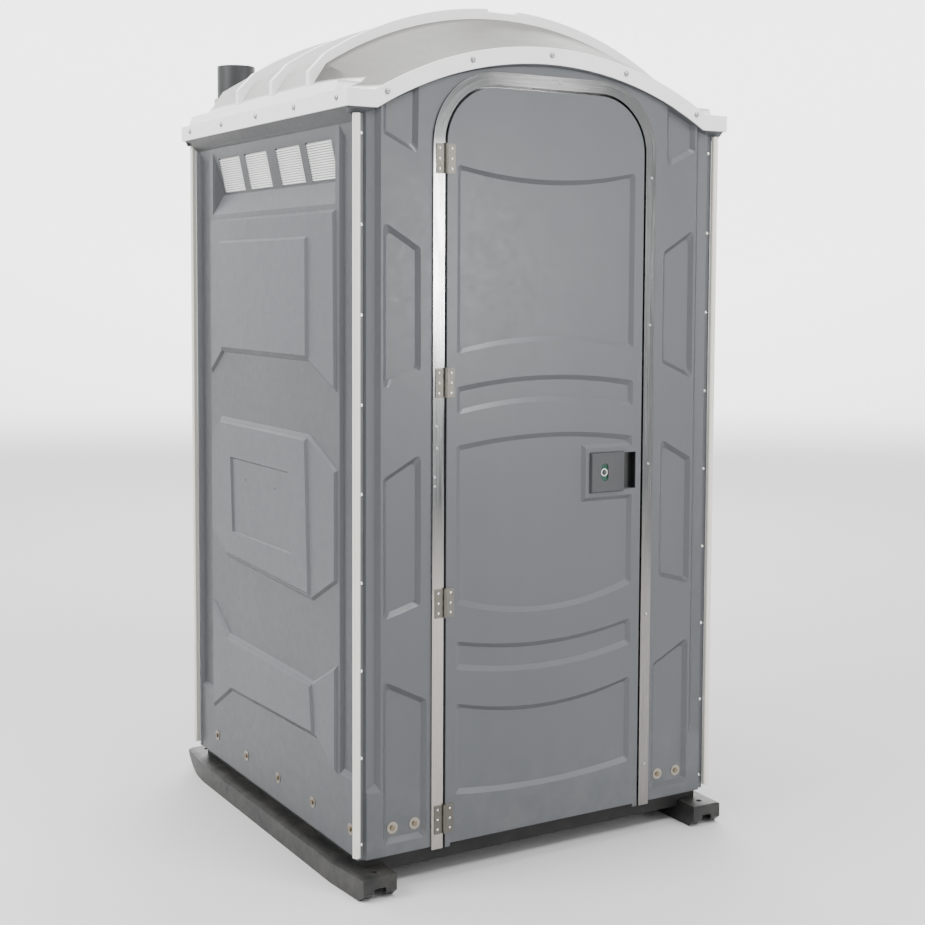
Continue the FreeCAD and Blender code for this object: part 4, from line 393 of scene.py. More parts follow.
def painted_recess_shade(shader, inputs):
    """Painted shade in the walls' sunk forms, growing with how far a spot lies behind the outermost face:
    channels, flanges and sunk fields.
    """
    x, y, _ = shader.parts(shader.spot())
    aside = shader.math("SUBTRACT", inputs["Side Face"], shader.math("ABSOLUTE", x))
    behind = shader.math("SUBTRACT", inputs["End Face"], shader.math("ABSOLUTE", y))
    nearest = shader.math("MINIMUM", shader.math("MAXIMUM", aside, 0.0), shader.math("MAXIMUM", behind, 0.0))
    return {"Mask": shader.spread(nearest, inputs["First Depth"], inputs["Full Depth"])}


def painted_slope_light(shader, inputs):
    """Painted light and shade by slope: where a sheet's form leans down, and where it leans up."""
    lean = shader.parts(shader.facing())[2]
    start, full = inputs["First Lean"], inputs["Full Lean"]
    under = shader.spread(shader.math("MULTIPLY", lean, -1.0), start, full)
    return {"Under": under, "Over": shader.spread(lean, start, full)}


def painted_pit_shade(shader, inputs):
    """Painted shade in the dark pocket beside the latch, where fingers pull the door open."""
    x, y, z = shader.parts(shader.spot())
    aside = shader.math("ABSOLUTE", shader.math("SUBTRACT", x, inputs["Middle X"]))
    above = shader.math("ABSOLUTE", shader.math("SUBTRACT", z, inputs["Middle Z"]))
    within = shader.math("MULTIPLY", shader.math("LESS_THAN", aside, inputs["Half Width"]),
                         shader.math("LESS_THAN", above, inputs["Half Height"]))
    return {"Mask": shader.math("MULTIPLY", within, shader.spread(y, *FINGER_PIT_BACK))}


SURFACE = ("Height", "Tone", "Wear")
GRAIN = group("moulded_grain", {"Grain Scale": 600.0, "Cloud Scale": 2.4, "Streak Scale": 9.0,
                                "Scuff Scale": 38.0}, SURFACE, moulded)
DUST = group("settled_dust", {"Splash Height": 0.35, "Patch Scale": 14.0}, ("Mask",), settled)
BRUSH = group("brushed_metal", {"Line Scale": 400.0, "Tone Scale": 3.1, "Mottle Scale": 60.0,
                                "Stretch": (1.0, 1.0, 0.02)}, SURFACE, brushed)
GATE = group("rolled_lines", {"Line Scale": 320.0, "Tone Scale": 2.2, "Smear Scale": 34.0,
                              "Corner X": 0.164, "Corner Z": 1.913}, SURFACE + ("Painted Floor Reflection", "Painted Highlight"), rolled)
# The roof's thin sheet, coloured partly by its own warm grey and partly by painted shade.
THIN_SHEET_AND_SHADE = group("thin_sheet_and_shade", {"First Rib": RIB_FIRST, "Rib Pitch": RIB_PITCH, "Rib Width": RIB_WIDTH,
                            "Rib Gaps": 3.0, "Back Share": 0.35, "Band Share": 0.62,
                            "Inner Depth": 0.5755}, ("Mask",), thin_sheet_and_shade)
# Painted shade in the walls' sunk forms.
RECESS_SHADE_GROUP = group("painted_recess_shade", {"Side Face": SIDE_FACE, "End Face": END_FACE, "First Depth": 0.004,
                            "Full Depth": 0.022}, ("Mask",), painted_recess_shade)
# Painted shade in the pocket beside the latch.
PIT_SHADE_GROUP = group("painted_pit_shade", {"Middle X": FINGER_PIT[0], "Middle Z": FINGER_PIT[1], "Half Width": 0.0195,
                           "Half Height": 0.05}, ("Mask",), painted_pit_shade)
# Painted light and shade on forms by how they lean.
SLOPE_LIGHT_GROUP = group("painted_slope_light", {"First Lean": 0.23, "Full Lean": 0.43}, ("Under", "Over"), painted_slope_light)


def shade(colour, factor):
    return tuple(min(1.0, channel * factor) for channel in colour) + (1.0,)


def finish_material(name, pattern, pattern_inputs, colour, contrast, roughness, bump, relief, dust,
                    thin=None, deep=0.0, lean=None, pit=False, **fixed):
    """A material whose colour, roughness and relief follow one of the shared patterns.

    Dust is the strength of the dust layer. Thin is a second colour for a thin sheet, partly its own tint
    and partly painted shade. The recess factor is how much darker painted shade makes the sunk forms, lean
    holds the factors of painted shade on forms that lean down and of painted light or shade on forms that
    lean up, and the pit flag paints shade in the pocket beside the latch.
    """
    material = bpy.data.materials.new(name)
    material.use_nodes = True
    material.diffuse_color = shade(colour, 1.0)
    shader = Tree(material.node_tree)
    surface = material.node_tree.nodes["Principled BSDF"]
    wave = shader.add("ShaderNodeGroup", node_tree=pattern)
    for key, value in pattern_inputs.items():
        shader.set(wave, key, value)
    base = shader.mix(wave.outputs["Tone"], shade(colour, 1 - contrast), shade(colour, 1 + contrast))
    # Painted highlights and a painted reflection of the floor on the doorway frame.
    if pattern == GATE:
        base = shader.mix(wave.outputs["Painted Highlight"], base, FRAME_PAINTED_HIGHLIGHT)
        base = shader.mix(wave.outputs["Painted Floor Reflection"], base, FRAME_FLOOR_REFLECTION)
    if dust:
        mask = shader.math("MULTIPLY", shader.layer(DUST)["Mask"], dust)
        base = shader.mix(mask, base, DUST_COLOUR)
    # Painted shade in sunk forms.
    if deep:
        base = shader.mix(shader.layer(RECESS_SHADE_GROUP)["Mask"], base, shade(colour, 1 - deep))
    # Painted shade where forms lean down, painted light or shade where they lean up.
    if lean:
        forms = shader.layer(SLOPE_LIGHT_GROUP)
        base = shader.mix(forms["Under"], base, shade(colour, lean[0]))
        base = shader.mix(forms["Over"], base, shade(colour, lean[1]))
    # Painted shade in the pocket beside the latch.
    if pit:
        base = shader.mix(shader.layer(PIT_SHADE_GROUP)["Mask"], base, shade(colour, PIT_SHADE))
    # The roof's thin sheet: partly its own warm grey, partly painted shade.
    if thin:
        base = shader.mix(shader.layer(THIN_SHEET_AND_SHADE)["Mask"], base, thin + (1.0,))
    shader.set(surface, "Base Color", base)
    shader.set(surface, "Roughness", shader.spread(wave.outputs["Wear"], 0.0, 1.0, *roughness))
    height = wave.outputs["Height"]
    raised = shader.add("ShaderNodeBump", Strength=bump, Distance=relief, Height=height)
    shader.set(surface, "Normal", raised.outputs[0])
    for socket, value in fixed.items():
        shader.set(surface, socket.replace("_", " "), value)
    return material


def plastic(name, colour, roughness, dust, grain=600.0, bump=0.12, contrast=0.035, **fixed):
    """Rotationally moulded plastic with a fine grain."""
    return finish_material(name, GRAIN, {"Grain Scale": grain}, colour, contrast, roughness, bump,
                           PLASTIC_RELIEF, dust, **fixed)


def metal(name, colour, roughness, lines):
    """Even, finely mottled metal, as on hinges, rivets and bolts."""
    return finish_material(name, BRUSH, {"Line Scale": lines, "Stretch": EVEN}, colour, 0.06, roughness,
                           0.05, METAL_RELIEF, 0.0, Metallic=1.0)


MATERIALS = {}


def make_materials(colours):
    latch = tuple(channel * LATCH_SHADE for channel in colours.wall)
    MATERIALS.update({
        # The walls, the front and the door share one grey. They differ in painted shade in sunk forms and in
        # painted light and shade on forms that lean, and the door and the latch also get painted shade in
        # the pocket beside the latch.
        "wall": plastic("wall_plastic", colours.wall, (0.34, 0.46), dust=0.12, deep=0.45, lean=(0.38, 1.05)),
        "front": plastic("front_plastic", colours.wall, (0.34, 0.46), dust=0.12, lean=(0.8, 0.7)),
        "door": plastic("door_plastic", colours.wall, (0.32, 0.42), dust=0.1, lean=(0.75, 1.15), pit=True),
        "roof": plastic("roof_plastic", colours.roof, (0.36, 0.46), dust=0.12, contrast=0.02,
                        thin=tuple(colours.dome)),
        "trim": plastic("strip_plastic", colours.trim, (0.35, 0.45), dust=0.12),
        "runner": plastic("runner_plastic", colours.runner, (0.3, 0.5), grain=420.0, bump=0.2, dust=0.1,
                          contrast=0.12, Specular_IOR_Level=0.35),
        "tray": plastic("tray_plastic", colours.tray, (0.42, 0.55), dust=0.03, contrast=0.1,
                        Specular_IOR_Level=0.3),
        "screen": plastic("screen_plastic", colours.screen, (0.35, 0.45), dust=0.08),
        "pipe": plastic("pipe_plastic", colours.pipe, (0.36, 0.44), bump=0.025, dust=0.005, contrast=0.05),
        "tank": plastic("tank_plastic", (0.03, 0.032, 0.035), (0.4, 0.5), dust=0.02, contrast=0.06),
        "seat": plastic("seat_plastic", (0.018, 0.018, 0.019), (0.28, 0.34), bump=0.025, dust=0.0,
                        contrast=0.05),
        "urinal": plastic("urinal_plastic", (0.26, 0.27, 0.29), (0.25, 0.35), dust=0.05),
        "fitting": plastic("fitting_plastic", (0.02, 0.02, 0.021), (0.35, 0.45), dust=0.02, contrast=0.08),
        "latch": plastic("latch_plastic", latch, (0.4, 0.5), dust=0.25, pit=True),
        "vacant": plastic("vacant_plastic", colours.vacant, (0.2, 0.28), dust=0.0),
        "occupied": plastic("occupied_plastic", colours.occupied, (0.2, 0.28), dust=0.0),
        "ring": plastic("ring_plastic", (0.75, 0.75, 0.74), (0.25, 0.3), dust=0.0),
        "frame": finish_material("frame_aluminium", GATE, {}, FRAME_METAL, 0.16, (0.16, 0.3), 0.05,
                                 FRAME_RELIEF, 0.0, Metallic=1.0),
        "hinge": metal("hinge_steel", (0.135, 0.126, 0.112), (0.34, 0.46), 700.0),
        # This rivet finish is the rivet metal made paler, a painted highlight.
        "bright": metal("rivet_painted_highlight", (0.62, 0.62, 0.61), (0.16, 0.26), 900.0),
        "rivet": metal("rivet_aluminium", (0.3, 0.3, 0.3), (0.2, 0.3), 900.0),
        "bolt": metal("bolt_steel", (0.2, 0.165, 0.115), (0.35, 0.5), 900.0),
        "washer": metal("washer_steel", (0.3, 0.27, 0.23), (0.35, 0.5), 900.0),
    })


SLOT_FINISH = {
    "wall_plastic": "wall", "roof_plastic": "roof", "strip_plastic": "trim", "skid_plastic": "runner",
    "base_plastic": "tray", "screen_plastic": "screen", "pipe_plastic": "pipe", "frame_metal": "frame",
    "hinge_metal": "hinge", "rivet_metal": "rivet", "bolt_metal": "bolt", "washer_metal": "washer",
    "latch_plastic": "latch", "dial_green": "vacant", "dial_red": "occupied", "dial_white": "ring",
    "fitting_plastic": "fitting", "tank_plastic": "tank", "seat_plastic": "seat", "urinal_plastic": "urinal"}
NODE_SLOT = {entry["node"]: entry["material_slot"] for entry in frame["record"]["subparts"]}


# Mesh helpers.

def paint(node, finish):
    """Give a node of the model its finish."""
    mesh = frame["nodes"][node].data
    mesh.materials.clear()
    mesh.materials.append(MATERIALS[finish])


def placed(name, data):
    """A new object in the scene."""
    thing = bpy.data.objects.new(name, data)
    bpy.context.scene.collection.objects.link(thing)
    return thing


def new_piece(name, mesh, body, finish, replaced):
    """An object that rides a body, with one finish, in place of the nodes it replaces, which it hides."""
    mesh.materials.clear()
    mesh.materials.append(MATERIALS[finish])
    piece = placed(name, mesh)
    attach(piece, body)
    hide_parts(*replaced)
    return piece


def baked(piece):
    """The mesh of an object with its modifiers applied."""
    depsgraph = bpy.context.evaluated_depsgraph_get()
    return bpy.data.meshes.new_from_object(piece.evaluated_get(depsgraph), preserve_all_data_layers=True,
                                           depsgraph=depsgraph)


def rounded(mesh, width, angle):
    """Round the edges of a closed mesh and weight its normals towards the large faces."""
    body = bmesh.new()
    body.from_mesh(mesh)
    bmesh.ops.remove_doubles(body, verts=body.verts, dist=WELD)
    bmesh.ops.dissolve_limit(body, angle_limit=math.radians(FLAT_ANGLE), verts=body.verts, edges=body.edges)
    body.to_mesh(mesh)
    body.free()
    holder = placed("rounding", mesh)
    bevel = holder.modifiers.new("rounding", "BEVEL")
    bevel.width = width
    bevel.segments = 2
    bevel.limit_method = "ANGLE"
    bevel.angle_limit = math.radians(angle)
    bevel.use_clamp_overlap = True
    result = baked(holder)
    bpy.data.objects.remove(holder)
    result.shade_smooth()
    result.set_sharp_from_angle(angle=math.radians(SHARP_ANGLE))
    holder = placed("weighting", result)
    weigh = holder.modifiers.new("weighting", "WEIGHTED_NORMAL")
    weigh.keep_sharp = True
    weigh.weight = NORMAL_WEIGHT
    final = baked(holder)
    bpy.data.objects.remove(holder)
    return final


def dressed(node, width, finish=None, angle=FORMED_ANGLE):
    """A node's own shape with rounded edges and a finish, in the node's place."""
    mesh = rounded(frame["nodes"][node].data.copy(), width, angle)
    slot = NODE_SLOT[node]
    return new_piece(node + "_dressed", mesh, BODY_OF[node], finish or SLOT_FINISH[slot], [node])


def islands(node):
    """The centre and the spans of each separate solid in a node."""
    body = bmesh.new()
    body.from_mesh(frame["nodes"][node].data)
    bmesh.ops.remove_doubles(body, verts=body.verts, dist=WELD)
    seen = set()
    found = []
    for vertex in body.verts:
        if vertex.index in seen:
            continue
        seen.add(vertex.index)
        stack = [vertex]
        low, high = vertex.co.copy(), vertex.co.copy()
        while stack:
            here = stack.pop()
            low = Vector(map(min, low, here.co))
            high = Vector(map(max, high, here.co))
            for edge in here.link_edges:
                other = edge.other_vert(here)
                if other.index not in seen:
                    seen.add(other.index)
                    stack.append(other)
        found.append(((low + high) / 2, high - low))
    body.free()
    return found


def joined(meshes):
    """One mesh made of several."""
    body = bmesh.new()
    for mesh in meshes:
        body.from_mesh(mesh)
    result = bpy.data.meshes.new("joined")
    body.to_mesh(result)
    body.free()
    return result


# Geometry Nodes helpers.

def shape_tree(name, inputs, build):
    """A Geometry Nodes tree with named sizes, whose result becomes real geometry with a material."""
    tree = bpy.data.node_groups.new(name, "GeometryNodeTree")
    tree.is_modifier = True
    tree.interface.new_socket(name="Geometry", in_out="INPUT", socket_type="NodeSocketGeometry")
    tree.interface.new_socket(name="Material", in_out="INPUT", socket_type="NodeSocketMaterial")
    for label, default in inputs.items():
        socket = tree.interface.new_socket(name=label, in_out="INPUT", socket_type="NodeSocketFloat")
        socket.default_value = default
    tree.interface.new_socket(name="Geometry", in_out="OUTPUT", socket_type="NodeSocketGeometry")
    nodes = Tree(tree)
    entry = nodes.add("NodeGroupInput").outputs
    real = nodes.add("GeometryNodeRealizeInstances", Geometry=build(nodes, entry)).outputs[0]
    coated = nodes.add("GeometryNodeSetMaterial", Geometry=real, Material=entry["Material"]).outputs[0]
    nodes.add("NodeGroupOutput", Geometry=coated)
    return tree


def grown(tree, seed, finish, sizes):
    """The plain mesh that a tree makes of a seed mesh."""
    holder = placed("seed", seed)
    modifier = holder.modifiers.new("shape", "NODES")
    modifier.node_group = tree
    keys = {item.name: item.identifier for item in tree.interface.items_tree if item.in_out == "INPUT"}
    modifier[keys["Material"]] = MATERIALS[finish]
    for label, value in sizes.items():
        modifier[keys[label]] = value
    mesh = baked(holder)
    holder.modifiers.remove(modifier)
    bpy.data.objects.remove(holder)
    return mesh


def spots(places):
    """A mesh of points, each with the direction that it faces."""
    mesh = bpy.data.meshes.new("spots")
    mesh.from_pydata([place for place, facing in places], [], [])
    facing = mesh.attributes.new("facing", "FLOAT_VECTOR", "POINT")
    for index, (place, direction) in enumerate(places):
        facing.data[index].vector = direction
    return mesh


def standing(nodes, points, shape):
    """A shape that stands on each point and looks along the point's direction."""
    facing = nodes.add("GeometryNodeInputNamedAttribute", data_type="FLOAT_VECTOR", Name="facing")
    turn = nodes.add("FunctionNodeAlignRotationToVector", axis="Z", Vector=facing.outputs[0])
    return nodes.add("GeometryNodeInstanceOnPoints", Points=points, Instance=shape,
                     Rotation=turn.outputs[0]).outputs[0]


def domed_head(nodes, entry):
    """A round head with a dimple where its pin broke off."""
    radius = entry["Head Radius"]
    ball = nodes.add("GeometryNodeMeshUVSphere", Segments=20, Rings=14, Radius=1.0).outputs[0]
    x, y, z = nodes.parts(nodes.add("GeometryNodeInputPosition").outputs[0])
    squares = nodes.math("ADD", nodes.math("MULTIPLY", x, x), nodes.math("MULTIPLY", y, y))
    out = nodes.math("MULTIPLY", nodes.math("SQRT", squares), radius)
    dome = nodes.math("MULTIPLY", nodes.math("MAXIMUM", z, 0.0), entry["Head Height"])
    dimple = nodes.spread(out, 0.0, entry["Dimple Radius"], entry["Dimple Depth"], 0.0,
                          interpolation_type="SMOOTHSTEP")
    on_top = nodes.math("GREATER_THAN", z, 0.0)
    high = nodes.math("SUBTRACT", dome, nodes.math("MULTIPLY", dimple, on_top))
    place = nodes.add("ShaderNodeCombineXYZ", X=nodes.math("MULTIPLY", x, radius),
                      Y=nodes.math("MULTIPLY", y, radius), Z=high).outputs[0]
    head = nodes.add("GeometryNodeSetPosition", Geometry=ball, Position=place).outputs[0]
    smooth = nodes.add("GeometryNodeSetShadeSmooth", Geometry=head).outputs[0]
    return standing(nodes, entry["Geometry"], smooth)


def rows_of_blades(nodes, entry):
    """Leaning blades that stand on each point, as wide as a window."""
    blade = nodes.add("GeometryNodeMeshCylinder", Vertices=12, Radius=0.5, Depth=1.0).outputs[0]
    size = nodes.add("ShaderNodeCombineXYZ", X=entry["Blade Depth"], Y=entry["Blade Thickness"],
                     Z=entry["Blade Length"]).outputs[0]
    lean = nodes.add("ShaderNodeCombineXYZ", Y=entry["Lean"]).outputs[0]
    for change in ({"Scale": size}, {"Rotation": (math.pi / 2, 0.0, 0.0)}, {"Rotation": lean}):
        blade = nodes.add("GeometryNodeTransform", Geometry=blade, **change).outputs[0]
    smooth = nodes.add("GeometryNodeSetShadeSmooth", Geometry=blade).outputs[0]
    return nodes.add("GeometryNodeInstanceOnPoints", Points=entry["Geometry"], Instance=smooth).outputs[0]


# The pieces, one operator for each group.

class CabinPiece(bpy.types.Operator):
    """Shared settings of the operators below."""

    bl_options = {"REGISTER", "UNDO"}

    @property
    def sizes(self):
        return bpy.context.scene.cabin_sizes


class CABIN_OT_walls(CabinPiece):
    """The two side walls, the front and the back: moulded sheets with soft edges"""

    bl_idname = "cabin.walls"
    bl_label = "Walls"

    def execute(self, context):
        for node in ("side_wall_left", "side_wall_right", "back_wall"):
            dressed(node, self.sizes.sheet_rounding)
        dressed("front_wall", self.sizes.sheet_rounding, finish="front")
        return {"FINISHED"}


class CABIN_OT_door(CabinPiece):
    """Both shells of the door"""

    bl_idname = "cabin.door"
    bl_label = "Door"

    def execute(self, context):
        dressed("door_outer_shell", self.sizes.sheet_rounding, finish="door")
        dressed("door_inner_shell", self.sizes.small_rounding, finish="door")
        return {"FINISHED"}


class CABIN_OT_door_frame(CabinPiece):
    """The metal frame of the doorway and the strike plate"""

    bl_idname = "cabin.door_frame"
    bl_label = "Door frame"

    def execute(self, context):
        dressed("door_frame", self.sizes.trim_rounding)
        dressed("strike_plate", self.sizes.small_rounding)
        return {"FINISHED"}


class CABIN_OT_base(CabinPiece):
    """The runners and the floor tray"""

    bl_idname = "cabin.base"
    bl_label = "Runners and tray"

    def execute(self, context):
        for node in ("skid_left", "skid_right"):
            dressed(node, self.sizes.sheet_rounding)
        dressed("base_floor", self.sizes.trim_rounding)
        return {"FINISHED"}


class CABIN_OT_roof(CabinPiece):
    """The domed roof with its ribs, the pipe and its collar"""

    bl_idname = "cabin.roof"
    bl_label = "Roof"

    def execute(self, context):
        dressed("roof", self.sizes.roof_rounding)
        dressed("pipe_collar", self.sizes.trim_rounding)
        paint("vent_pipe", "pipe")
        return {"FINISHED"}


class CABIN_OT_strips(CabinPiece):
    """The corner strips: round beads with a groove along the corner"""

    bl_idname = "cabin.strips"
    bl_label = "Corner strips"

    def execute(self, context):
        for end, y in (("front", -1), ("back", 1)):
            for side, x in (("left", -1), ("right", 1)):
                node = "corner_strip_%s_%s" % (end, side)
                mesh = self.bead(node, [(point[0] * x, point[1] * y) for point in self.outline()])
                new_piece(node + "_dressed", mesh, BODY_OF[node], "trim", [node])
        return {"FINISHED"}

    def outline(self):
        """The bead seen from above, for the corner at positive X and Y."""
        points = []
        for step in range(STRIP_STEPS + 1):
            angle = math.radians(STRIP_START + step * STRIP_SWEEP / STRIP_STEPS)
            radius = STRIP_RADIUS - (STRIP_GROOVE if step in STRIP_GROOVE_STEPS else 0.0)
            points.append((STRIP_CENTRE[0] + radius * math.cos(angle),
                           STRIP_CENTRE[1] + radius * math.sin(angle)))
        return points + [STRIP_CORNER]

    def bead(self, node, outline):
        """The outline drawn up from the bottom to the top of the node."""
        low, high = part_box(node)
        count = len(outline)
        points = [spot + (low[2],) for spot in outline] + [spot + (high[2],) for spot in outline]
        faces = []
        for index in range(count):
            after = (index + 1) % count
            faces.append((index, after, after + count, index + count))
        faces += [tuple(range(count))[::-1], tuple(range(count, 2 * count))]
        mesh = bpy.data.meshes.new(node)
        mesh.from_pydata(points, [], faces)
        body = bmesh.new()
        body.from_mesh(mesh)
        bmesh.ops.recalc_face_normals(body, faces=body.faces)
        body.to_mesh(mesh)
        body.free()
        mesh.shade_smooth()
        mesh.set_sharp_from_angle(angle=math.radians(STRIP_SHARP_ANGLE))
        return mesh


class CABIN_OT_screens(CabinPiece):
    """The vent screens: leaning plates with rows of white blades in every window"""

    bl_idname = "cabin.screens"
    bl_label = "Vent screens"

    def execute(self, context):
        tree = shape_tree("blade_rows", {"Blade Depth": 0.0096, "Blade Thickness": 0.0046,
                                         "Blade Length": 0.156, "Lean": BLADE_LEAN}, rows_of_blades)
        for name, side in (("left", -1), ("right", 1)):
            node = "vent_screen_" + name
            places = []
            for middle in WINDOW_MIDDLES:
                for row in range(BLADE_ROWS):
                    height = WINDOW_LOW + WINDOW_HEIGHT * (row + 0.5) / BLADE_ROWS
                    across = side * (self.recess(height) - BLADE_INWARD)
                    places.append((Vector((across, middle, height)), Vector()))
            meshes = [grown(tree, spots(places), "screen", {"Lean": BLADE_LEAN * side})]
            meshes += [self.plate(side, start, end, PLATE_LOW, PLATE_HIGH) for start, end in PLATE_BARS]
            meshes.append(self.plate(side, -PLATE_END, PLATE_END, PLATE_LOW, WINDOW_LOW))
            meshes.append(self.plate(side, -PLATE_END, PLATE_END, WINDOW_TOP, PLATE_HIGH))
            new_piece(node + "_dressed", joined(meshes), BODY_OF[node], "screen", [node])
        return {"FINISHED"}

    def recess(self, height):
        """How far from the cabin's middle the bottom of the recess is at a height."""
        return SIDE_FACE - (VENT_TOP_DEPTH + (VENT_TOP - height) * VENT_SLOPE)

    def plate(self, side, start, end, low, high):
        """A bar of the plate behind the recess."""
        points = []
        for height in (low, high):
            for inward in PLATE_FACES:
                points += [(side * (self.recess(height) - inward), y, height) for y in (start, end)]
        faces = [(0, 1, 3, 2), (4, 6, 7, 5), (0, 4, 5, 1), (2, 3, 7, 6), (0, 2, 6, 4), (1, 5, 7, 3)]
        mesh = bpy.data.meshes.new("bar")
        mesh.from_pydata(points, [], [face if side < 0 else face[::-1] for face in faces])
        return mesh


class CABIN_OT_hinges(CabinPiece):
    """The leaves and the pins of the hinges"""

    bl_idname = "cabin.hinges"
    bl_label = "Hinges"

    def execute(self, context):
        for number in range(1, 5):
            for part in ("leaf_frame", "leaf_door", "pin"):
                dressed("hinge_%s_%d" % (part, number), self.sizes.small_rounding, angle=FITTING_ANGLE)
        return {"FINISHED"}


class CABIN_OT_rivets(CabinPiece):
    """Blind rivets with domed heads, placed where the model has them"""

    bl_idname = "cabin.rivets"
    bl_label = "Rivets"

    def execute(self, context):
        tree = shape_tree("domed_heads", {"Head Radius": RIVET_RADIUS, "Head Height": 0.0018,
                                          "Dimple Radius": 0.0014, "Dimple Depth": 0.0006}, domed_head)
        # Hinge and flange rivets get the paler finish, a painted highlight; roof and frame rivets get the
        # plain one.
        for node, finish in (("hinge_rivets_frame", "bright"), ("hinge_rivets_door", "bright"),
                             ("roof_rivets", "rivet"), ("flange_rivets", "bright"),
                             ("frame_rivets", "rivet")):
            places = []
            for centre, spans in islands(node):
                axis = min(range(3), key=lambda index: spans[index])
                out = Vector((0.0, 0.0, 0.0))
                out[axis] = math.copysign(1.0, centre[axis])
                places.append((centre - out * spans[axis] / 2, out))
                radius, height = max(spans) / 2, spans[axis]
            if node in LARGE_RIVETS:
                radius, height = radius * LARGE_WIDTH, height * LARGE_HEIGHT
            sizes = {"Head Radius": radius, "Head Height": height,
                     "Dimple Radius": self.sizes.rivet_dimple * radius / RIVET_RADIUS,
                     "Dimple Depth": height * DIMPLE_DEPTH_SHARE}
            mesh = grown(tree, spots(places), finish, sizes)
            new_piece(node + "_domed", mesh, BODY_OF[node], finish, [node])
        return {"FINISHED"}


class CABIN_OT_bolts(CabinPiece):
    """The bolts and washers that hold the walls to the tray"""

    bl_idname = "cabin.bolts"
    bl_label = "Bolts and washers"

    def execute(self, context):
        dressed("base_bolts", self.sizes.trim_rounding, angle=FITTING_ANGLE)
        dressed("base_washers", self.sizes.small_rounding, angle=FITTING_ANGLE)
        return {"FINISHED"}


class CABIN_OT_latch(CabinPiece):
    """The latch plate, the indicator, the arm and the thumb turn"""

    bl_idname = "cabin.latch"
    bl_label = "Latch"

    def execute(self, context):
        dressed("latch_plate", self.sizes.trim_rounding)
        for node in ("indicator_dial", "indicator_ring", "occupied_marks", "latch_arm", "latch_knob"):
            dressed(node, self.sizes.small_rounding, angle=FITTING_ANGLE)
        return {"FINISHED"}


class CABIN_OT_fittings(CabinPiece):
    """The pull, the coat hook and the paper holder"""

    bl_idname = "cabin.fittings"
    bl_label = "Fittings"

    def execute(self, context):
        for node in ("door_pull", "coat_hook", "paper_holder", "roll_bar"):
            dressed(node, self.sizes.small_rounding, angle=FITTING_ANGLE)
        return {"FINISHED"}


class CABIN_OT_inside(CabinPiece):
    """The tank, the seat and the urinal"""

    bl_idname = "cabin.inside"
    bl_label = "Inside"

    def execute(self, context):
        for node in ("waste_tank", "urinal", "toilet_seat", "seat_lid", "seat_hinge"):
            dressed(node, self.sizes.sheet_rounding, angle=FITTING_ANGLE)
        paint("urinal_drain", "fitting")
        return {"FINISHED"}


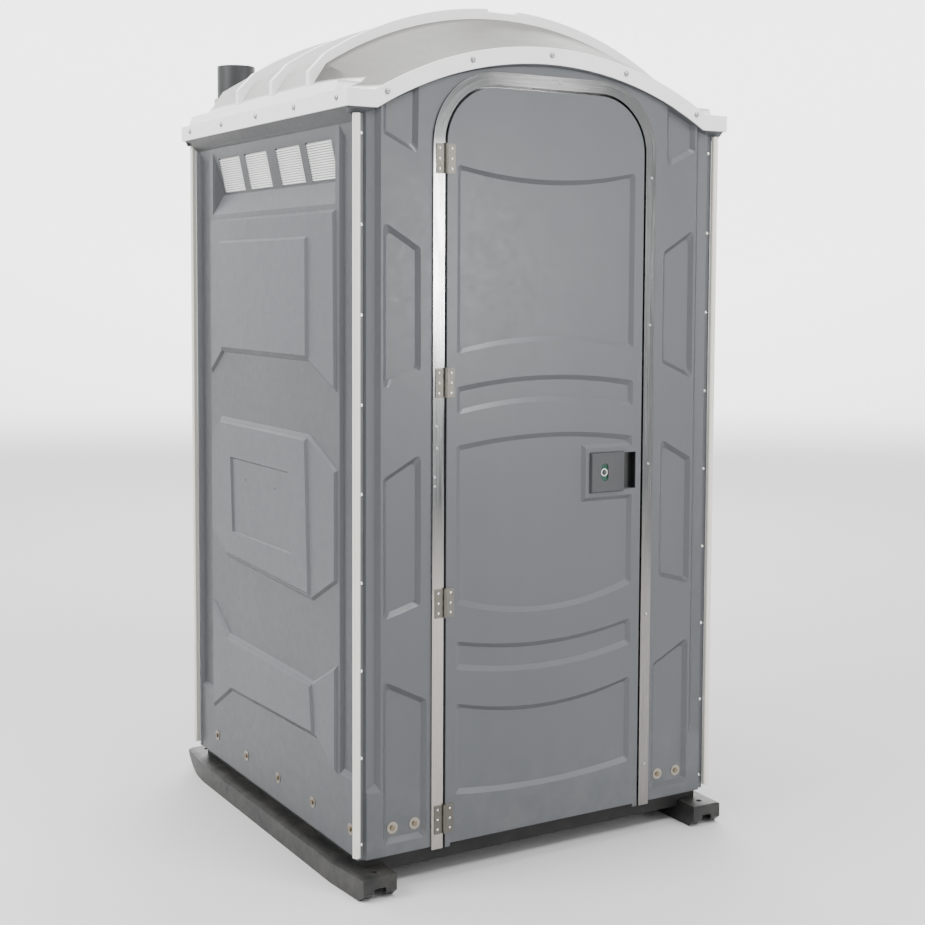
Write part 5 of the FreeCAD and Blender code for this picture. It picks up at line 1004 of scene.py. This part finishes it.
class CABIN_OT_stage(CabinPiece):
    """The pale floor, the soft lights and the camera"""

    bl_idname = "cabin.stage"
    bl_label = "Stage"

    def execute(self, context):
        floor = self.floor()
        floor.materials.append(self.paper())
        ground = placed("studio_floor", floor)
        world = bpy.data.worlds.new("studio")
        bpy.context.scene.world = world
        world.use_nodes = True
        background = world.node_tree.nodes["Background"]
        background.inputs["Color"].default_value = WHITE
        background.inputs["Strength"].default_value = WORLD_STRENGTH
        for name, place, aim, size, power in LIGHTS:
            data = bpy.data.lights.new(name, "AREA")
            data.shape = "RECTANGLE"
            data.size, data.size_y = size
            data.energy = power
            lamp = placed(name, data)
            lamp.location = place
            lamp.rotation_euler = (Vector(aim) - Vector(place)).to_track_quat("-Z", "Y").to_euler()
        self.camera()
        return {"FINISHED"}

    def floor(self):
        """A round floor that curves up to a wall at its edge."""
        profile = [(0.0, 0.0)] + [(radius, 0.0) for radius in FLOOR_FLAT]
        for step in range(1, FLOOR_CURVE_STEPS + 1):
            angle = step * math.pi / (2 * FLOOR_CURVE_STEPS)
            profile.append((FLOOR_FLAT[-1] + FLOOR_CURVE * math.sin(angle),
                            FLOOR_CURVE - FLOOR_CURVE * math.cos(angle)))
        profile.append((FLOOR_FLAT[-1] + FLOOR_CURVE, FLOOR_TOP))
        points = []
        for radius, height in profile:
            for turn in range(FLOOR_TURNS):
                angle = 2 * math.pi * turn / FLOOR_TURNS
                points.append((radius * math.cos(angle), radius * math.sin(angle), height))
        faces = []
        for ring in range(len(profile) - 1):
            inner, outer = ring * FLOOR_TURNS, (ring + 1) * FLOOR_TURNS
            for turn in range(FLOOR_TURNS):
                after = (turn + 1) % FLOOR_TURNS
                faces.append((inner + turn, outer + turn, outer + after, inner + after))
        floor = bpy.data.meshes.new("studio_floor")
        floor.from_pydata(points, [], faces)
        body = bmesh.new()
        body.from_mesh(floor)
        bmesh.ops.remove_doubles(body, verts=body.verts, dist=WELD)
        body.to_mesh(floor)
        body.free()
        floor.shade_smooth()
        return floor

    def paper(self):
        """Paper that gets paler further out, and glows far behind the cabin."""
        paper = bpy.data.materials.new("studio_paper")
        paper.use_nodes = True
        nodes = Tree(paper.node_tree)
        spot = nodes.spot()
        cloud_scale, cloud_share = PAPER_CLOUD
        cloud = nodes.math("MULTIPLY", nodes.noise(spot, cloud_scale), cloud_share)
        away = nodes.spread(nodes.vector_math("LENGTH", spot), *PAPER_FADE)
        tone = nodes.mix(nodes.math("ADD", away, cloud), PAPER_NEAR, PAPER_FAR)
        toward = nodes.vector_math("DOT_PRODUCT", spot, PAPER_GLOW_WAY)
        surface = paper.node_tree.nodes["Principled BSDF"]
        nodes.set(surface, "Base Color", tone)
        nodes.set(surface, "Roughness", PAPER_ROUGHNESS)
        nodes.set(surface, "Emission Color", WHITE)
        nodes.set(surface, "Emission Strength", nodes.spread(toward, *PAPER_GLOW_FADE, 0.0, PAPER_GLOW))
        return paper

    def camera(self):
        """The camera that sees the cabin as the photograph does."""
        data = bpy.data.cameras.new("camera")
        data.sensor_width = CAMERA_SENSOR
        data.lens = CAMERA_LENS
        data.shift_y = CAMERA_SHIFT
        camera = placed("camera", data)
        level = math.cos(CAMERA_PITCH)
        look = Vector((math.sin(CAMERA_YAW) * level, math.cos(CAMERA_YAW) * level, -math.sin(CAMERA_PITCH)))
        aimed = look.to_track_quat("-Z", "Y").to_matrix().to_4x4()
        rolling = Matrix.Rotation(CAMERA_ROLL, 4, "Z")
        camera.matrix_world = Matrix.Translation(CAMERA_PLACE) @ aimed @ rolling
        bpy.context.scene.camera = camera


class CABIN_PT_panel(bpy.types.Panel):
    """Lists the settings and the pieces of the cabin"""

    bl_idname = "CABIN_PT_panel"
    bl_label = "Portable toilet cabin"
    bl_space_type = "VIEW_3D"
    bl_region_type = "UI"
    bl_category = "Cabin"

    def draw(self, context):
        for group_name in ("cabin_sizes", "cabin_colours"):
            settings = getattr(context.scene, group_name)
            box = self.layout.box()
            for key in settings.bl_rna.properties.keys():
                if key not in ("name", "rna_type"):
                    box.prop(settings, key)
        for operator in OPERATORS:
            self.layout.operator(operator.bl_idname)


OPERATORS = (CABIN_OT_base, CABIN_OT_walls, CABIN_OT_strips, CABIN_OT_screens, CABIN_OT_roof,
             CABIN_OT_door_frame, CABIN_OT_door, CABIN_OT_hinges, CABIN_OT_rivets, CABIN_OT_bolts,
             CABIN_OT_latch, CABIN_OT_fittings, CABIN_OT_inside, CABIN_OT_stage)
CLASSES = (CabinSizes, CabinColours) + OPERATORS + (CABIN_PT_panel,)


def register():
    for item in CLASSES:
        bpy.utils.register_class(item)
    bpy.types.Scene.cabin_sizes = bpy.props.PointerProperty(type=CabinSizes)
    bpy.types.Scene.cabin_colours = bpy.props.PointerProperty(type=CabinColours)


def unregister():
    del bpy.types.Scene.cabin_colours
    del bpy.types.Scene.cabin_sizes
    for item in reversed(CLASSES):
        bpy.utils.unregister_class(item)


def main():
    register()
    make_materials(bpy.context.scene.cabin_colours)
    for operator in OPERATORS:
        family, name = operator.bl_idname.split(".")
        getattr(getattr(bpy.ops, family), name)()


if __name__ == "__main__":
    main()
